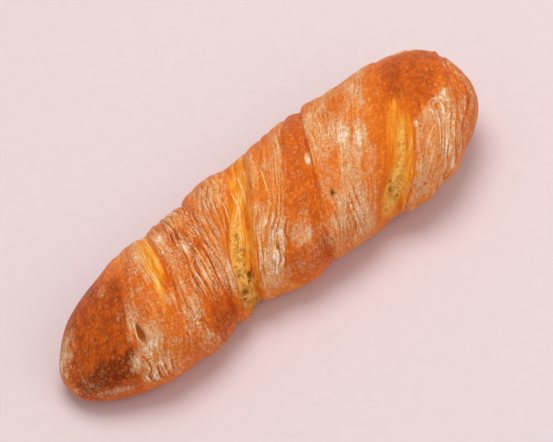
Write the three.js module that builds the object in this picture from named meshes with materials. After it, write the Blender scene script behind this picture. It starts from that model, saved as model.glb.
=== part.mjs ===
// A hand-twisted rustic ciabatta loaf, lying on the flat underside it was baked on.
// Millimetres, +Z up. The loaf lies along X with its slim end towards -X, and its origin is
// under the middle of its box. The skin is one surface of two parameters: a stripe, which winds
// round the loaf with the twist, and an angle round the loaf.

import * as THREE from "three";

// ---- Driving dimensions: the round body ----
const LENGTH = 300;
const HALF_LENGTH = LENGTH / 2;
const HEIGHT_PER_WIDTH = 0.78;
const SETTLE = 6; // how far the round section has sunk into the baking surface
const SLIM_END = { fullness: 2.9, tipHeight: 13 };
const BLUNT_END = { fullness: 2.3, tipHeight: 29 };

// Places along X, each with the half width of the loaf there.
const HALF_WIDTHS = [
  [-150, 28], [-125, 38], [-90, 43], [-50, 39], [0, 43], [50, 45], [90, 51], [125, 56], [150, 59],
];
// Places along X, each with how far the middle of the loaf lies to +Y there.
const SWAY = [
  [-150, 3], [-125, 2], [-90, -1], [-50, 6], [-25, 9], [0, 3], [50, 6], [90, -1], [125, 4], [150, 5],
];

// ---- Driving dimensions: the twist ----
// Stripes are named by where they cross the crown. Each crossing is paired with how far that
// stripe slides towards the slim end while it goes one radian towards -Y.
const SLIDES = [
  [-150, 30], [-101, 34], [-74, 15], [-43, 12], [-18, 25], [12, 34], [37, 26],
  [60, 35], [81, 39], [103, 46], [118, 58], [135, 66], [150, 55],
];
// A stripe slows down as it winds. Each pair is a stripe and its rate of slowing towards -Y.
const SLOWINGS = [
  [-150, 1], [60, 1], [100, 0.65], [150, 0.65],
];
const BACK_SLOWING = 0.85; // the same rate for every stripe, towards +Y
const WINDING_ENDS = [degrees(95), degrees(178)]; // the stripes straighten out underneath

// ---- Driving dimensions: relief, all heights from the round body ----
// The skin swells between the stripes where it is pinched.
const PANELS = [
  { first: -150, last: -78, swell: 2.2 },
  { first: -71, last: -43, swell: 2.2 },
  { first: -43, last: -22, swell: 1.6 },
  { first: -8, last: 17, swell: 1.8 },
  { first: 17, last: 36, swell: 1.0 },
  { first: 37, last: 88, swell: 3.0 },
  { first: 104, last: 150, swell: 2.0 },
];
// Where the skin tore open: between two stripes, over a range of angles round the loaf. Each of
// the two stripes is given high on the loaf and low on its side, and goes from the one to the
// other over the angles of the spread. The walls are those at the first and the last stripe.
const TEARS = [
  {
    first: [-77, -77], last: [-72, -72], spread: [degrees(0), degrees(40)], walls: [2.6, 2.6],
    start: degrees(-60), end: degrees(52), depth: 2.0, lip: 0.6,
  },
  {
    first: [-19, -28], last: [-10, -6], spread: [degrees(0), degrees(40)], walls: [6.0, 3.4],
    start: degrees(-60), end: degrees(135), depth: 4.0, lip: 1.2,
  },
  {
    first: [94, 89], last: [102, 103], spread: [degrees(45), degrees(75)], walls: [8.0, 4.0],
    start: degrees(4), end: degrees(112), depth: 2.8, lip: 0.6,
  },
];
const TEAR_FADE = degrees(24); // how far a tear takes to open to its full depth
const CRUMB_SWELL = 0.4; // share of a tear's depth that its floor rises in the middle
const CRUMB_RISE = [0.5, 2.5]; // where the floor rises, in walls from an edge
const LIP_PLACE = 1.2; // where a lip stands, in walls past an edge
const LIP_WIDTH = 0.8;

// One sharp fold, where the far panel lies over the near one.
const FOLD = { stripe: 36.5, height: 1.6, near: 8, far: 1.2 };
// Creases that run along the stripes.
const CREASES = [
  { stripe: -101, depth: 0.7, width: 2.0 },
  { stripe: -60, depth: 0.8, width: 1.8 },
  { stripe: -43, depth: 1.2, width: 1.8 },
  { stripe: -35, depth: 0.7, width: 1.6 },
  { stripe: -1, depth: 0.9, width: 1.8 },
  { stripe: 5, depth: 0.8, width: 1.6 },
  { stripe: 17, depth: 0.8, width: 1.8 },
  { stripe: 50, depth: 0.8, width: 1.8 },
];
// The gathered skin of the blunt end: ridges side by side, which run the way the tears do. They
// die out towards the back, and stop where a smooth cap of skin lies over the top of this end.
const GATHERS = {
  first: 109, last: 144, pitch: 11.6, height: 0.8, fadeIn: [-4, 2], fadeOut: 6,
  back: [degrees(-60), degrees(-25)],
};
const CAP = { last: 130, fade: 4, below: [degrees(8), degrees(34)] };
// Wide, low unevenness of a hand-made loaf: waves along X and round the loaf.
const LUMPS = [
  { height: 0.9, waveLength: 96, turns: 1, phase: 0.6 },
  { height: 0.7, waveLength: 61, turns: 2, phase: 2.1 },
  { height: 0.5, waveLength: 37, turns: 3, phase: 4.4 },
];
const RELIEF_STOPS = [degrees(118), degrees(146)]; // relief dies out towards the underside
const SMOOTH_TIP = 0.45; // relief dies out too where less of the full section than this is left

// ---- Driving dimensions: the facets ----
const COLUMNS = 130; // along the loaf
const ROWS = 44; // round the loaf
const EDGE_CROWDING = 1.4; // how many more columns stand at an edge than elsewhere
const EDGE_REACH = 4.5;
const UNDERSIDE_SPARSENESS = 0.35; // rows on the flat underside, as a share of the rows elsewhere

// ---- Small helpers ----
function degrees(angle) {
  return (angle * Math.PI) / 180;
}

function smoothStep(low, high, value) {
  const share = Math.min(1, Math.max(0, (value - low) / (high - low)));
  return share * share * (3 - 2 * share);
}

function bell(offset, width) {
  return Math.exp(-((offset / width) ** 2));
}

// Slope of a list of [place, value] pairs at one of them, from its two neighbours.
function slopeAt(pairs, index) {
  const before = pairs[Math.max(0, index - 1)];
  const after = pairs[Math.min(pairs.length - 1, index + 1)];
  return (after[1] - before[1]) / (after[0] - before[0]);
}

// Smooth curve through [place, value] pairs: a cubic with a matched slope between neighbours.
function curveThrough(pairs, place) {
  let index = 0;
  while (index < pairs.length - 2 && place > pairs[index + 1][0]) {
    index += 1;
  }
  const [start, startValue] = pairs[index];
  const [end, endValue] = pairs[index + 1];
  const span = end - start;
  const share = (place - start) / span;
  const rise = share * share * (3 - 2 * share);
  const leave = share * (1 - share) ** 2 * span * slopeAt(pairs, index);
  const arrive = share * share * (share - 1) * span * slopeAt(pairs, index + 1);
  return startValue + (endValue - startValue) * rise + leave + arrive;
}

// ---- The round body ----
function endOf(x) {
  return x < 0 ? SLIM_END : BLUNT_END;
}

// How much of the full section is left at x: 1 along the middle, 0 at a tip.
function sectionShare(x) {
  const { fullness } = endOf(x);
  const along = Math.min(1, Math.abs(x) / HALF_LENGTH);
  return (1 - along ** fullness) ** (1 / fullness);
}

function sectionAt(x) {
  const share = sectionShare(x);
  const fullHalfWidth = curveThrough(HALF_WIDTHS, x);
  const restingHeight = HEIGHT_PER_WIDTH * fullHalfWidth - SETTLE;
  const { tipHeight } = endOf(x);
  return {
    halfWidth: fullHalfWidth * share,
    halfHeight: HEIGHT_PER_WIDTH * fullHalfWidth * share,
    middleY: curveThrough(SWAY, x),
    middleZ: tipHeight + (restingHeight - tipHeight) * share,
  };
}

// Point of the round body. Angle 0 is the crown, and a positive angle goes down the -Y side.
function bodyPoint(x, angle) {
  const section = sectionAt(x);
  const y = section.middleY - section.halfWidth * Math.sin(angle);
  const z = section.middleZ + section.halfHeight * Math.cos(angle);
  return new THREE.Vector3(x, y, z);
}

// Outward direction at a point of the body: away from a core line that stops short of the tips.
function outwardFrom(point) {
  const coreEnd = HALF_LENGTH - endOf(point.x).tipHeight * 2;
  const coreX = THREE.MathUtils.clamp(point.x, -coreEnd, coreEnd);
  const section = sectionAt(coreX);
  const core = new THREE.Vector3(coreX, section.middleY, section.middleZ);
  return point.clone().sub(core).normalize();
}

// ---- The twist ----
// Running share of the length, -1 to 1, which packs places closer together near the tips.
function shareOf(x) {
  return Math.asin(THREE.MathUtils.clamp(x / HALF_LENGTH, -1, 1)) / (Math.PI / 2);
}

function placeOf(share) {
  return HALF_LENGTH * Math.sin((share * Math.PI) / 2);
}

// How far a stripe has wound at an angle: 0 on the crown and again under the loaf.
function winding(stripe, angle) {
  const slowing = angle < 0 ? BACK_SLOWING : curveThrough(SLOWINGS, stripe);
  const straightened = 1 - smoothStep(WINDING_ENDS[0], WINDING_ENDS[1], Math.abs(angle));
  return (Math.sin(slowing * angle) / slowing) * straightened;
}

// Where along X a stripe is at an angle. The slide is squeezed to nothing at the tips.
function placeOnStripe(stripe, angle) {
  const share = shareOf(stripe);
  const slide = curveThrough(SLIDES, stripe) / (HALF_LENGTH * Math.PI * 0.5);
  return placeOf(share - slide * (1 - share * share) * winding(stripe, angle));
}

// ---- Relief ----
function panelSwell(stripe) {
  let height = 0;
  for (const { first, last, swell } of PANELS) {
    const across = (2 * stripe - first - last) / (last - first);
    height += swell * Math.sqrt(Math.max(0, 1 - across * across));
  }
  return height;
}

// How open a tear is at an angle: 0 past its two ends, 1 between them.
function tearReach(tear, angle) {
  const opening = smoothStep(tear.start, tear.start + TEAR_FADE, angle);
  const closing = 1 - smoothStep(tear.end - TEAR_FADE, tear.end, angle);
  return opening * closing;
}

// How far a stripe is past each edge of a tear, in walls. It is negative on the tear's own side.
function pastEdges(tear, stripe, angle) {
  const spread = smoothStep(tear.spread[0], tear.spread[1], angle);
  const firstEdge = THREE.MathUtils.lerp(tear.first[0], tear.first[1], spread);
  const lastEdge = THREE.MathUtils.lerp(tear.last[0], tear.last[1], spread);
  return [(firstEdge - stripe) / tear.walls[0], (stripe - lastEdge) / tear.walls[1]];
}

function tearDepth(tear, stripe, angle) {
  let inside = 1;
  let rise = 1;
  let lips = 0;
  for (const past of pastEdges(tear, stripe, angle)) {
    inside *= 1 - smoothStep(-0.5, 0.5, past);
    rise *= smoothStep(CRUMB_RISE[0], CRUMB_RISE[1], -past);
    lips += tear.lip * bell(past - LIP_PLACE, LIP_WIDTH);
  }
  return tearReach(tear, angle) * (tear.depth * inside * (1 - CRUMB_SWELL * rise) - lips);
}

// The near side dips towards the fold, and the far side rises over it at once.
function foldHeight(stripe) {
  const offset = stripe - FOLD.stripe;
  const side = offset < 0 ? FOLD.near : FOLD.far;
  const dip = FOLD.height * bell(offset, side);
  const browMiddle = 3 * FOLD.far;
  const brow = offset < 0 ? 0 : 0.5 * FOLD.height * bell(offset - browMiddle, browMiddle);
  return brow - dip;
}

function creaseDepth(stripe) {
  let depth = 0;
  for (const crease of CREASES) {
    depth += crease.depth * bell(stripe - crease.stripe, crease.width);
  }
  return depth;
}

// 1 on the smooth cap over the blunt end, 0 below it and round the very end.
function onCap(stripe, angle) {
  const above = 1 - smoothStep(CAP.below[0], CAP.below[1], angle);
  return above * (1 - smoothStep(CAP.last - CAP.fade, CAP.last + CAP.fade, stripe));
}

function gatherHeight(stripe, angle) {
  const fromFirst = stripe - GATHERS.first;
  const within = smoothStep(GATHERS.fadeIn[0], GATHERS.fadeIn[1], fromFirst);
  const before = 1 - smoothStep(GATHERS.last - GATHERS.fadeOut, GATHERS.last, stripe);
  const shown = smoothStep(GATHERS.back[0], GATHERS.back[1], angle) * (1 - onCap(stripe, angle));
  const ridge = Math.cos((2 * Math.PI * fromFirst) / GATHERS.pitch);
  return GATHERS.height * within * before * shown * ridge;
}

function lumpHeight(x, angle) {
  let height = 0;
  for (const lump of LUMPS) {
    const along = (2 * Math.PI * x) / lump.waveLength;
    height += lump.height * Math.sin(along + lump.phase) * Math.cos(lump.turns * angle + lump.phase);
  }
  return height * sectionShare(x);
}

function reliefHeight(stripe, angle, x) {
  const upperSide = 1 - smoothStep(RELIEF_STOPS[0], RELIEF_STOPS[1], Math.abs(angle));
  let height = panelSwell(stripe) + foldHeight(stripe) - creaseDepth(stripe);
  height += gatherHeight(stripe, angle);
  for (const tear of TEARS) {
    height -= tearDepth(tear, stripe, angle);
  }
  return upperSide * (height * smoothStep(0, SMOOTH_TIP, sectionShare(x)) + lumpHeight(x, angle));
}

// ---- The skin ----
function skinPoint(stripe, angle) {
  const x = placeOnStripe(stripe, angle);
  const body = bodyPoint(x, angle);
  const point = body.clone().addScaledVector(outwardFrom(body), reliefHeight(stripe, angle, x));
  point.z = Math.max(0, point.z);
  return point;
}

// Stripes at which something changes sharply, where the columns of facets stand closer.
function sharpStripes() {
  const tearEdges = TEARS.flatMap((tear) => [...tear.first, ...tear.last]);
  const creaseLines = CREASES.map((crease) => crease.stripe);
  return [...tearEdges, ...creaseLines, FOLD.stripe];
}

// Places from low to high, spaced so that each step holds the same share of the crowding.
function crowdedPlaces(low, high, count, crowding) {
  const fineSteps = 4000;
  const sums = [0];
  for (let step = 0; step < fineSteps; step += 1) {
    const middle = low + ((high - low) * (step + 0.5)) / fineSteps;
    sums.push(sums[step] + crowding(middle));
  }
  const places = [];
  let step = 0;
  for (let index = 0; index <= count; index += 1) {
    const wanted = (sums[fineSteps] * index) / count;
    while (step < fineSteps - 1 && sums[step + 1] < wanted) {
      step += 1;
    }
    const within = (wanted - sums[step]) / (sums[step + 1] - sums[step]);
    places.push(low + ((high - low) * (step + within)) / fineSteps);
  }
  return places;
}

function columnStripes() {
  const edges = sharpStripes();
  const crowding = (share) => {
    const near = edges.map((edge) => bell(placeOf(share) - edge, EDGE_REACH));
    return 1 + EDGE_CROWDING * Math.max(...near);
  };
  return crowdedPlaces(-1, 1, COLUMNS, crowding).map(placeOf);
}

function rowAngles() {
  const crowding = (angle) => {
    const underneath = smoothStep(degrees(140), degrees(155), Math.abs(angle));
    return 1 - (1 - UNDERSIDE_SPARSENESS) * underneath;
  };
  return crowdedPlaces(-Math.PI, Math.PI, ROWS, crowding).slice(0, ROWS);
}

// Faces between two rings of vertices, or between a ring and the single vertex of a tip.
function stitch(near, far) {
  const faces = [];
  for (let row = 0; row < ROWS; row += 1) {
    const next = (row + 1) % ROWS;
    if (near.length > 1) {
      faces.push(near[row], near[next], far[row % far.length]);
    }
    if (far.length > 1) {
      faces.push(near[next % near.length], far[next], far[row]);
    }
  }
  return faces;
}

function loafGeometry() {
  const positions = [];
  const rings = [];
  const angles = rowAngles();
  const stripes = columnStripes();
  stripes.forEach((stripe, column) => {
    const isTip = column === 0 || column === COLUMNS;
    const ringAngles = isTip ? [0] : angles;
    rings.push(ringAngles.map((angle) => positions.push(skinPoint(stripe, angle)) - 1));
  });
  const faces = [];
  for (let column = 0; column < COLUMNS; column += 1) {
    faces.push(...stitch(rings[column], rings[column + 1]));
  }
  const geometry = new THREE.BufferGeometry();
  geometry.setFromPoints(positions);
  geometry.setIndex(faces);
  return geometry;
}

// Stands the loaf over the origin: the middle of its box in X and Y, its underside at zero.
function centreOnUnderside(geometry) {
  geometry.computeBoundingBox();
  const { min, max } = geometry.boundingBox;
  geometry.translate(-(min.x + max.x) / 2, -(min.y + max.y) / 2, -min.z);
  geometry.computeVertexNormals();
  return geometry;
}

function buildLoaf() {
  const crust = new THREE.MeshStandardMaterial({ color: 0xc9712a, roughness: 0.7, metalness: 0 });
  const loaf = new THREE.Mesh(centreOnUnderside(loafGeometry()), crust);
  loaf.name = "loaf";
  return loaf;
}

const group = new THREE.Group();
group.add(buildLoaf());

export default group;
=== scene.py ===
"""Looks of a hand-twisted rustic ciabatta: crust, stripes of flour, torn seams, and its studio.

The loaf is one surface of two parameters. The first is the stripe, named by where it crosses the
crown, and the second is the angle round the loaf: 0 on the crown, positive down the -Y side.
Lengths are millimetres and angles are degrees in every class, and meshes are put out in metres.
Colours are written as they look on a screen, 0 to 255.
"""

from __future__ import annotations

import logging
from dataclasses import dataclass, field
from enum import Enum

import bpy
import numpy as np
from mathutils import Matrix, Vector

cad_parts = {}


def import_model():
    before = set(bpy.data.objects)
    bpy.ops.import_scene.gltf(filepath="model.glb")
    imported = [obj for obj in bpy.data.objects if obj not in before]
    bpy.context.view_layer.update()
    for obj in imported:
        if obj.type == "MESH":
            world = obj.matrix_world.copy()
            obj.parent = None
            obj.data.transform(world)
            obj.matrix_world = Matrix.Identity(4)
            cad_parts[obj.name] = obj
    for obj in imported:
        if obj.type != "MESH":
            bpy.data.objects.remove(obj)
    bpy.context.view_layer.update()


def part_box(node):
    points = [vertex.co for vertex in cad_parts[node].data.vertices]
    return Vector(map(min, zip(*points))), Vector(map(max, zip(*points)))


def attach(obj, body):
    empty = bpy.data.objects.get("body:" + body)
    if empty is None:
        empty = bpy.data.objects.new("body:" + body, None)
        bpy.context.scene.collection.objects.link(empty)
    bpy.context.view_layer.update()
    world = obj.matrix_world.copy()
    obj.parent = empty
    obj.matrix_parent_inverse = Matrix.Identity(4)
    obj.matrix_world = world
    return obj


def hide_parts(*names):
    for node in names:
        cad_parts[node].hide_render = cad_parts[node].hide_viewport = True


LOG = logging.getLogger("ciabatta")
METRE = 0.001
SCREEN_CURVE = (0.04045, 12.92, 0.055, 2.4)
Span = tuple[float, float]
Pairs = tuple[Span, ...]
Colour = tuple[int, int, int]
Array = np.ndarray
Tree = bpy.types.NodeTree
Port = bpy.types.NodeSocket
Node = bpy.types.Node
SceneObject = bpy.types.Object
Inputs = dict[str | int, object]
Groups = dict[str, Tree]


# ---- helpers on arrays


def smooth_step(low: float, high: float, value: Array) -> Array:
    """Ramp from 0 at low to 1 at high, as 3t^2 - 2t^3 of the share t of the way.

    Args:
        low: where the ramp starts.
        high: where it ends.
        value: the places to read it at.

    Returns:
        The ramp at each place.
    """
    share = np.clip((value - low) / (high - low), 0.0, 1.0)
    return share * share * (3.0 - 2.0 * share)


def inside_edges(near: Array, far: Array, near_ramp: Span, far_ramp: Span) -> Array:
    """1 where a point is past neither of two edges and 0 past one, by a ramp at each edge."""
    return (1.0 - smooth_step(*near_ramp, near)) * (1.0 - smooth_step(*far_ramp, far))


def bell(offset: Array, width: float | Array) -> Array:
    """Bell curve exp(-(offset / width)^2)."""
    return np.exp(-((offset / width) ** 2))


def curve_through(pairs: Pairs, places: Array) -> Array:
    """Smooth curve through (place, value) pairs: a cubic between neighbours, with matched slopes.

    The slope at a pair is the rise over the run between the pairs on its two sides.

    Args:
        pairs: (place, value) pairs in rising order of place.
        places: where to read the curve.

    Returns:
        The curve's value at each place.
    """
    xs, ys = np.array(pairs, float).T
    before = np.maximum(np.arange(len(xs)) - 1, 0)
    after = np.minimum(np.arange(len(xs)) + 1, len(xs) - 1)
    slopes = (ys[after] - ys[before]) / (xs[after] - xs[before])
    index = np.clip(np.searchsorted(xs, places) - 1, 0, len(xs) - 2)
    span = xs[index + 1] - xs[index]
    share = (places - xs[index]) / span
    rise = share * share * (3.0 - 2.0 * share)
    leave = share * (1.0 - share) ** 2 * span * slopes[index]
    arrive = share * share * (share - 1.0) * span * slopes[index + 1]
    return ys[index] + (ys[index + 1] - ys[index]) * rise + leave + arrive


def crowded_places(low: float, high: float, count: int, crowding: Array) -> Array:
    """Places from low to high, spaced so that each step holds the same share of the crowding.

    Args:
        low: first place.
        high: last place.
        count: number of steps.
        crowding: how closely the places stand, sampled evenly from low to high.

    Returns:
        count + 1 places.
    """
    samples = np.linspace(low, high, len(crowding))
    sums = np.concatenate([[0.0], np.cumsum((crowding[1:] + crowding[:-1]) / 2.0)])
    return np.interp(np.linspace(0.0, sums[-1], count + 1), sums, samples)


def unit(vectors: Array) -> Array:
    """Vectors divided by their lengths."""
    return vectors / np.maximum(np.linalg.norm(vectors, axis=-1, keepdims=True), 1e-12)


class Noise:
    """Smooth random values on a square lattice, the same on every run for one seed."""

    SIDE = 256

    def __init__(self, seed: int) -> None:
        """Draws the lattice's values."""
        self.table = np.random.default_rng(seed).random((self.SIDE, self.SIDE))

    def value(self, across: Array, along: Array) -> Array:
        """Value from 0 to 1: the four lattice corners round a point, blended by smooth shares.

        Args:
            across: first coordinate, in lattice steps.
            along: second coordinate, in lattice steps.

        Returns:
            The value at each point.
        """
        column = np.floor(across).astype(int)
        row = np.floor(along).astype(int)
        column_share = smooth_step(0.0, 1.0, across - column)
        row_share = smooth_step(0.0, 1.0, along - row)
        sides = []
        for step in (0, 1):
            low = self.table[column % self.SIDE, (row + step) % self.SIDE]
            high = self.table[(column + 1) % self.SIDE, (row + step) % self.SIDE]
            sides.append(low + (high - low) * column_share)
        return sides[0] + (sides[1] - sides[0]) * row_share

    def layered(self, across: Array, along: Array, layers: int) -> Array:
        """Sum of layers of value(), each twice as fine and half as strong, scaled back to 0 to 1.

        Args:
            across: first coordinate, in steps of the coarsest lattice.
            along: second coordinate, in the same steps.
            layers: how many layers are summed.

        Returns:
            The sum at each point.
        """
        total = np.zeros(np.broadcast(across, along).shape)
        weight = 1.0
        for layer in range(layers):
            places = (across * 2.0**layer + 17.0 * layer, along * 2.0**layer + 31.0 * layer)
            total += weight * self.value(*places)
            weight /= 2.0
        return total / (2.0 - 2.0 * weight)

    def ripple(
        self, across: Array, along: Array, steps: Span, layers: int, start: float = 0.0
    ) -> Array:
        """layered() less a half, on a lattice with its steps in millimetres.

        Args:
            across: first coordinate.
            along: second coordinate.
            steps: sides of the coarsest lattice's cells.
            layers: how many layers are summed.
            start: lattice steps to begin at, so that two ripples differ.

        Returns:
            Values from -0.5 to 0.5.
        """
        return self.layered(across / steps[0] + start, along / steps[1], layers) - 0.5


# ---- the round body and its twist


@dataclass(frozen=True)
class LoafEnd:
    """How one end of the loaf is rounded off."""

    fullness: float
    tip_height: float


@dataclass(frozen=True)
class RoundBody:
    """The loaf without its relief: an oval section along a gently swaying middle line."""

    length: float = 300.0
    height_per_width: float = 0.78
    settle: float = 6.0
    slim_end: LoafEnd = LoafEnd(fullness=2.9, tip_height=13.0)
    blunt_end: LoafEnd = LoafEnd(fullness=2.3, tip_height=29.0)
    half_widths: Pairs = (
        (-150, 28), (-125, 38), (-90, 43), (-50, 39), (0, 43),
        (50, 45), (90, 51), (125, 56), (150, 59),
    )
    sway: Pairs = (
        (-150, 3), (-125, 2), (-90, -1), (-50, 6), (-25, 9), (0, 3),
        (50, 6), (90, -1), (125, 4), (150, 5),
    )

    @property
    def half_length(self) -> float:
        """Half the loaf's length."""
        return self.length / 2.0

    def by_end(self, x: Array, slim: float, blunt: float) -> Array:
        """The slim end's value where x is negative, and the blunt end's elsewhere."""
        return np.where(x < 0.0, slim, blunt)

    def section_share(self, x: Array) -> Array:
        """How much of the full section is left: (1 - |x / half|^n)^(1/n), n the end's fullness."""
        fullness = self.by_end(x, self.slim_end.fullness, self.blunt_end.fullness)
        along = np.minimum(1.0, np.abs(x) / self.half_length)
        return (1.0 - along**fullness) ** (1.0 / fullness)

    def tip_height(self, x: Array) -> Array:
        """Height of the tip at the end that x lies towards."""
        return self.by_end(x, self.slim_end.tip_height, self.blunt_end.tip_height)

    def middle(self, x: Array) -> Array:
        """The middle line: its sway in Y, and in Z from the tips up to the section's rest height.

        Args:
            x: places along the loaf.

        Returns:
            Points of the middle line.
        """
        resting = self.height_per_width * curve_through(self.half_widths, x) - self.settle
        tip = self.tip_height(x)
        z = tip + (resting - tip) * self.section_share(x)
        return np.stack([x, curve_through(self.sway, x), z], axis=-1)

    def points(self, x: Array, angle: Array) -> Array:
        """Points of the body: the middle line, plus an oval of the local half width and height.

        Args:
            x: places along the loaf.
            angle: radians round it from the crown.

        Returns:
            Points of the round body.
        """
        half_width = curve_through(self.half_widths, x) * self.section_share(x)
        across = -half_width * np.sin(angle)
        up = self.height_per_width * half_width * np.cos(angle)
        return self.middle(x) + np.stack([np.zeros_like(x), across, up], axis=-1)

    def outward(self, points: Array) -> Array:
        """Directions away from a core line that stops twice a tip's height short of each tip."""
        core_end = self.half_length - 2.0 * self.tip_height(points[..., 0])
        core = self.middle(np.clip(points[..., 0], -core_end, core_end))
        return unit(points - core)


@dataclass(frozen=True)
class Twist:
    """How the stripes wind round the loaf.

    Each pair of slides is a stripe and how far it slides to the slim end in its first radian.
    """

    body: RoundBody
    slides: Pairs = (
        (-150, 30), (-101, 34), (-74, 15), (-43, 12), (-18, 25), (12, 34), (37, 26),
        (60, 35), (81, 39), (103, 46), (118, 58), (135, 66), (150, 55),
    )
    slowings: Pairs = ((-150, 1), (60, 1), (100, 0.65), (150, 0.65))
    back_slowing: float = 0.85
    winding_ends: Span = (95.0, 178.0)

    def share_of(self, x: Array) -> Array:
        """Running share of the length, -1 to 1: the arc sine of x over the half length."""
        return np.arcsin(np.clip(x / self.body.half_length, -1.0, 1.0)) / (np.pi / 2.0)

    def place_of(self, share: Array) -> Array:
        """The place with a running share: the half length times the sine of its quarter turn."""
        return self.body.half_length * np.sin(share * np.pi / 2.0)

    def winding(self, stripe: Array, angle: Array) -> Array:
        """How far a stripe has wound: sin(slowing * angle) / slowing, and 0 again underneath.

        Args:
            stripe: stripe of each point.
            angle: radians round the loaf.

        Returns:
            Winding in radians, negative up the +Y side.
        """
        slowing = np.where(angle < 0.0, self.back_slowing, curve_through(self.slowings, stripe))
        low, high = np.radians(self.winding_ends)
        straightened = 1.0 - smooth_step(low, high, np.abs(angle))
        return np.sin(slowing * angle) / slowing * straightened

    def place(self, stripe: Array, angle: Array) -> Array:
        """Where along X a stripe is: its share less its slide times (1 - share^2) times winding.

        Args:
            stripe: stripe of each point.
            angle: radians round the loaf.

        Returns:
            Places along X.
        """
        share = self.share_of(stripe)
        slide = curve_through(self.slides, stripe) / (self.body.half_length * np.pi / 2.0)
        return self.place_of(share - slide * (1.0 - share * share) * self.winding(stripe, angle))


# ---- main relief


@dataclass(frozen=True)
class Panel:
    """Skin that swells between two pinched stripes."""

    first: float
    last: float
    swell: float


@dataclass(frozen=True)
class Tear:
    """Where the skin tore open.

    The tear lies between two stripes, first and last, and between the angles start and end. Each
    stripe is given as (high on the loaf, low on its side) and goes from the one to the other over
    the angles of the spread. The walls are (near, far) widths. The crumb shows from the angle
    bare on, and above it the tear is covered by stretched golden skin.
    """

    first: tuple[float, float]
    last: tuple[float, float]
    spread: tuple[float, float]
    walls: tuple[float, float]
    start: float
    end: float
    depth: float
    lip: float
    bare: float
    pores: int

    def edges(self, lowness: Array) -> tuple[Array, Array]:
        """The near and the far stripe, from high on the loaf at 0 to low on its side at 1."""
        near = self.first[0] + (self.first[1] - self.first[0]) * lowness
        far = self.last[0] + (self.last[1] - self.last[0]) * lowness
        return near, far


@dataclass(frozen=True)
class Crease:
    """A groove along a stripe."""

    stripe: float
    depth: float
    width: float


@dataclass(frozen=True)
class Lump:
    """One wave of the wide, low unevenness of a hand-made loaf."""

    height: float
    wave_length: float
    turns: float
    phase: float


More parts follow.
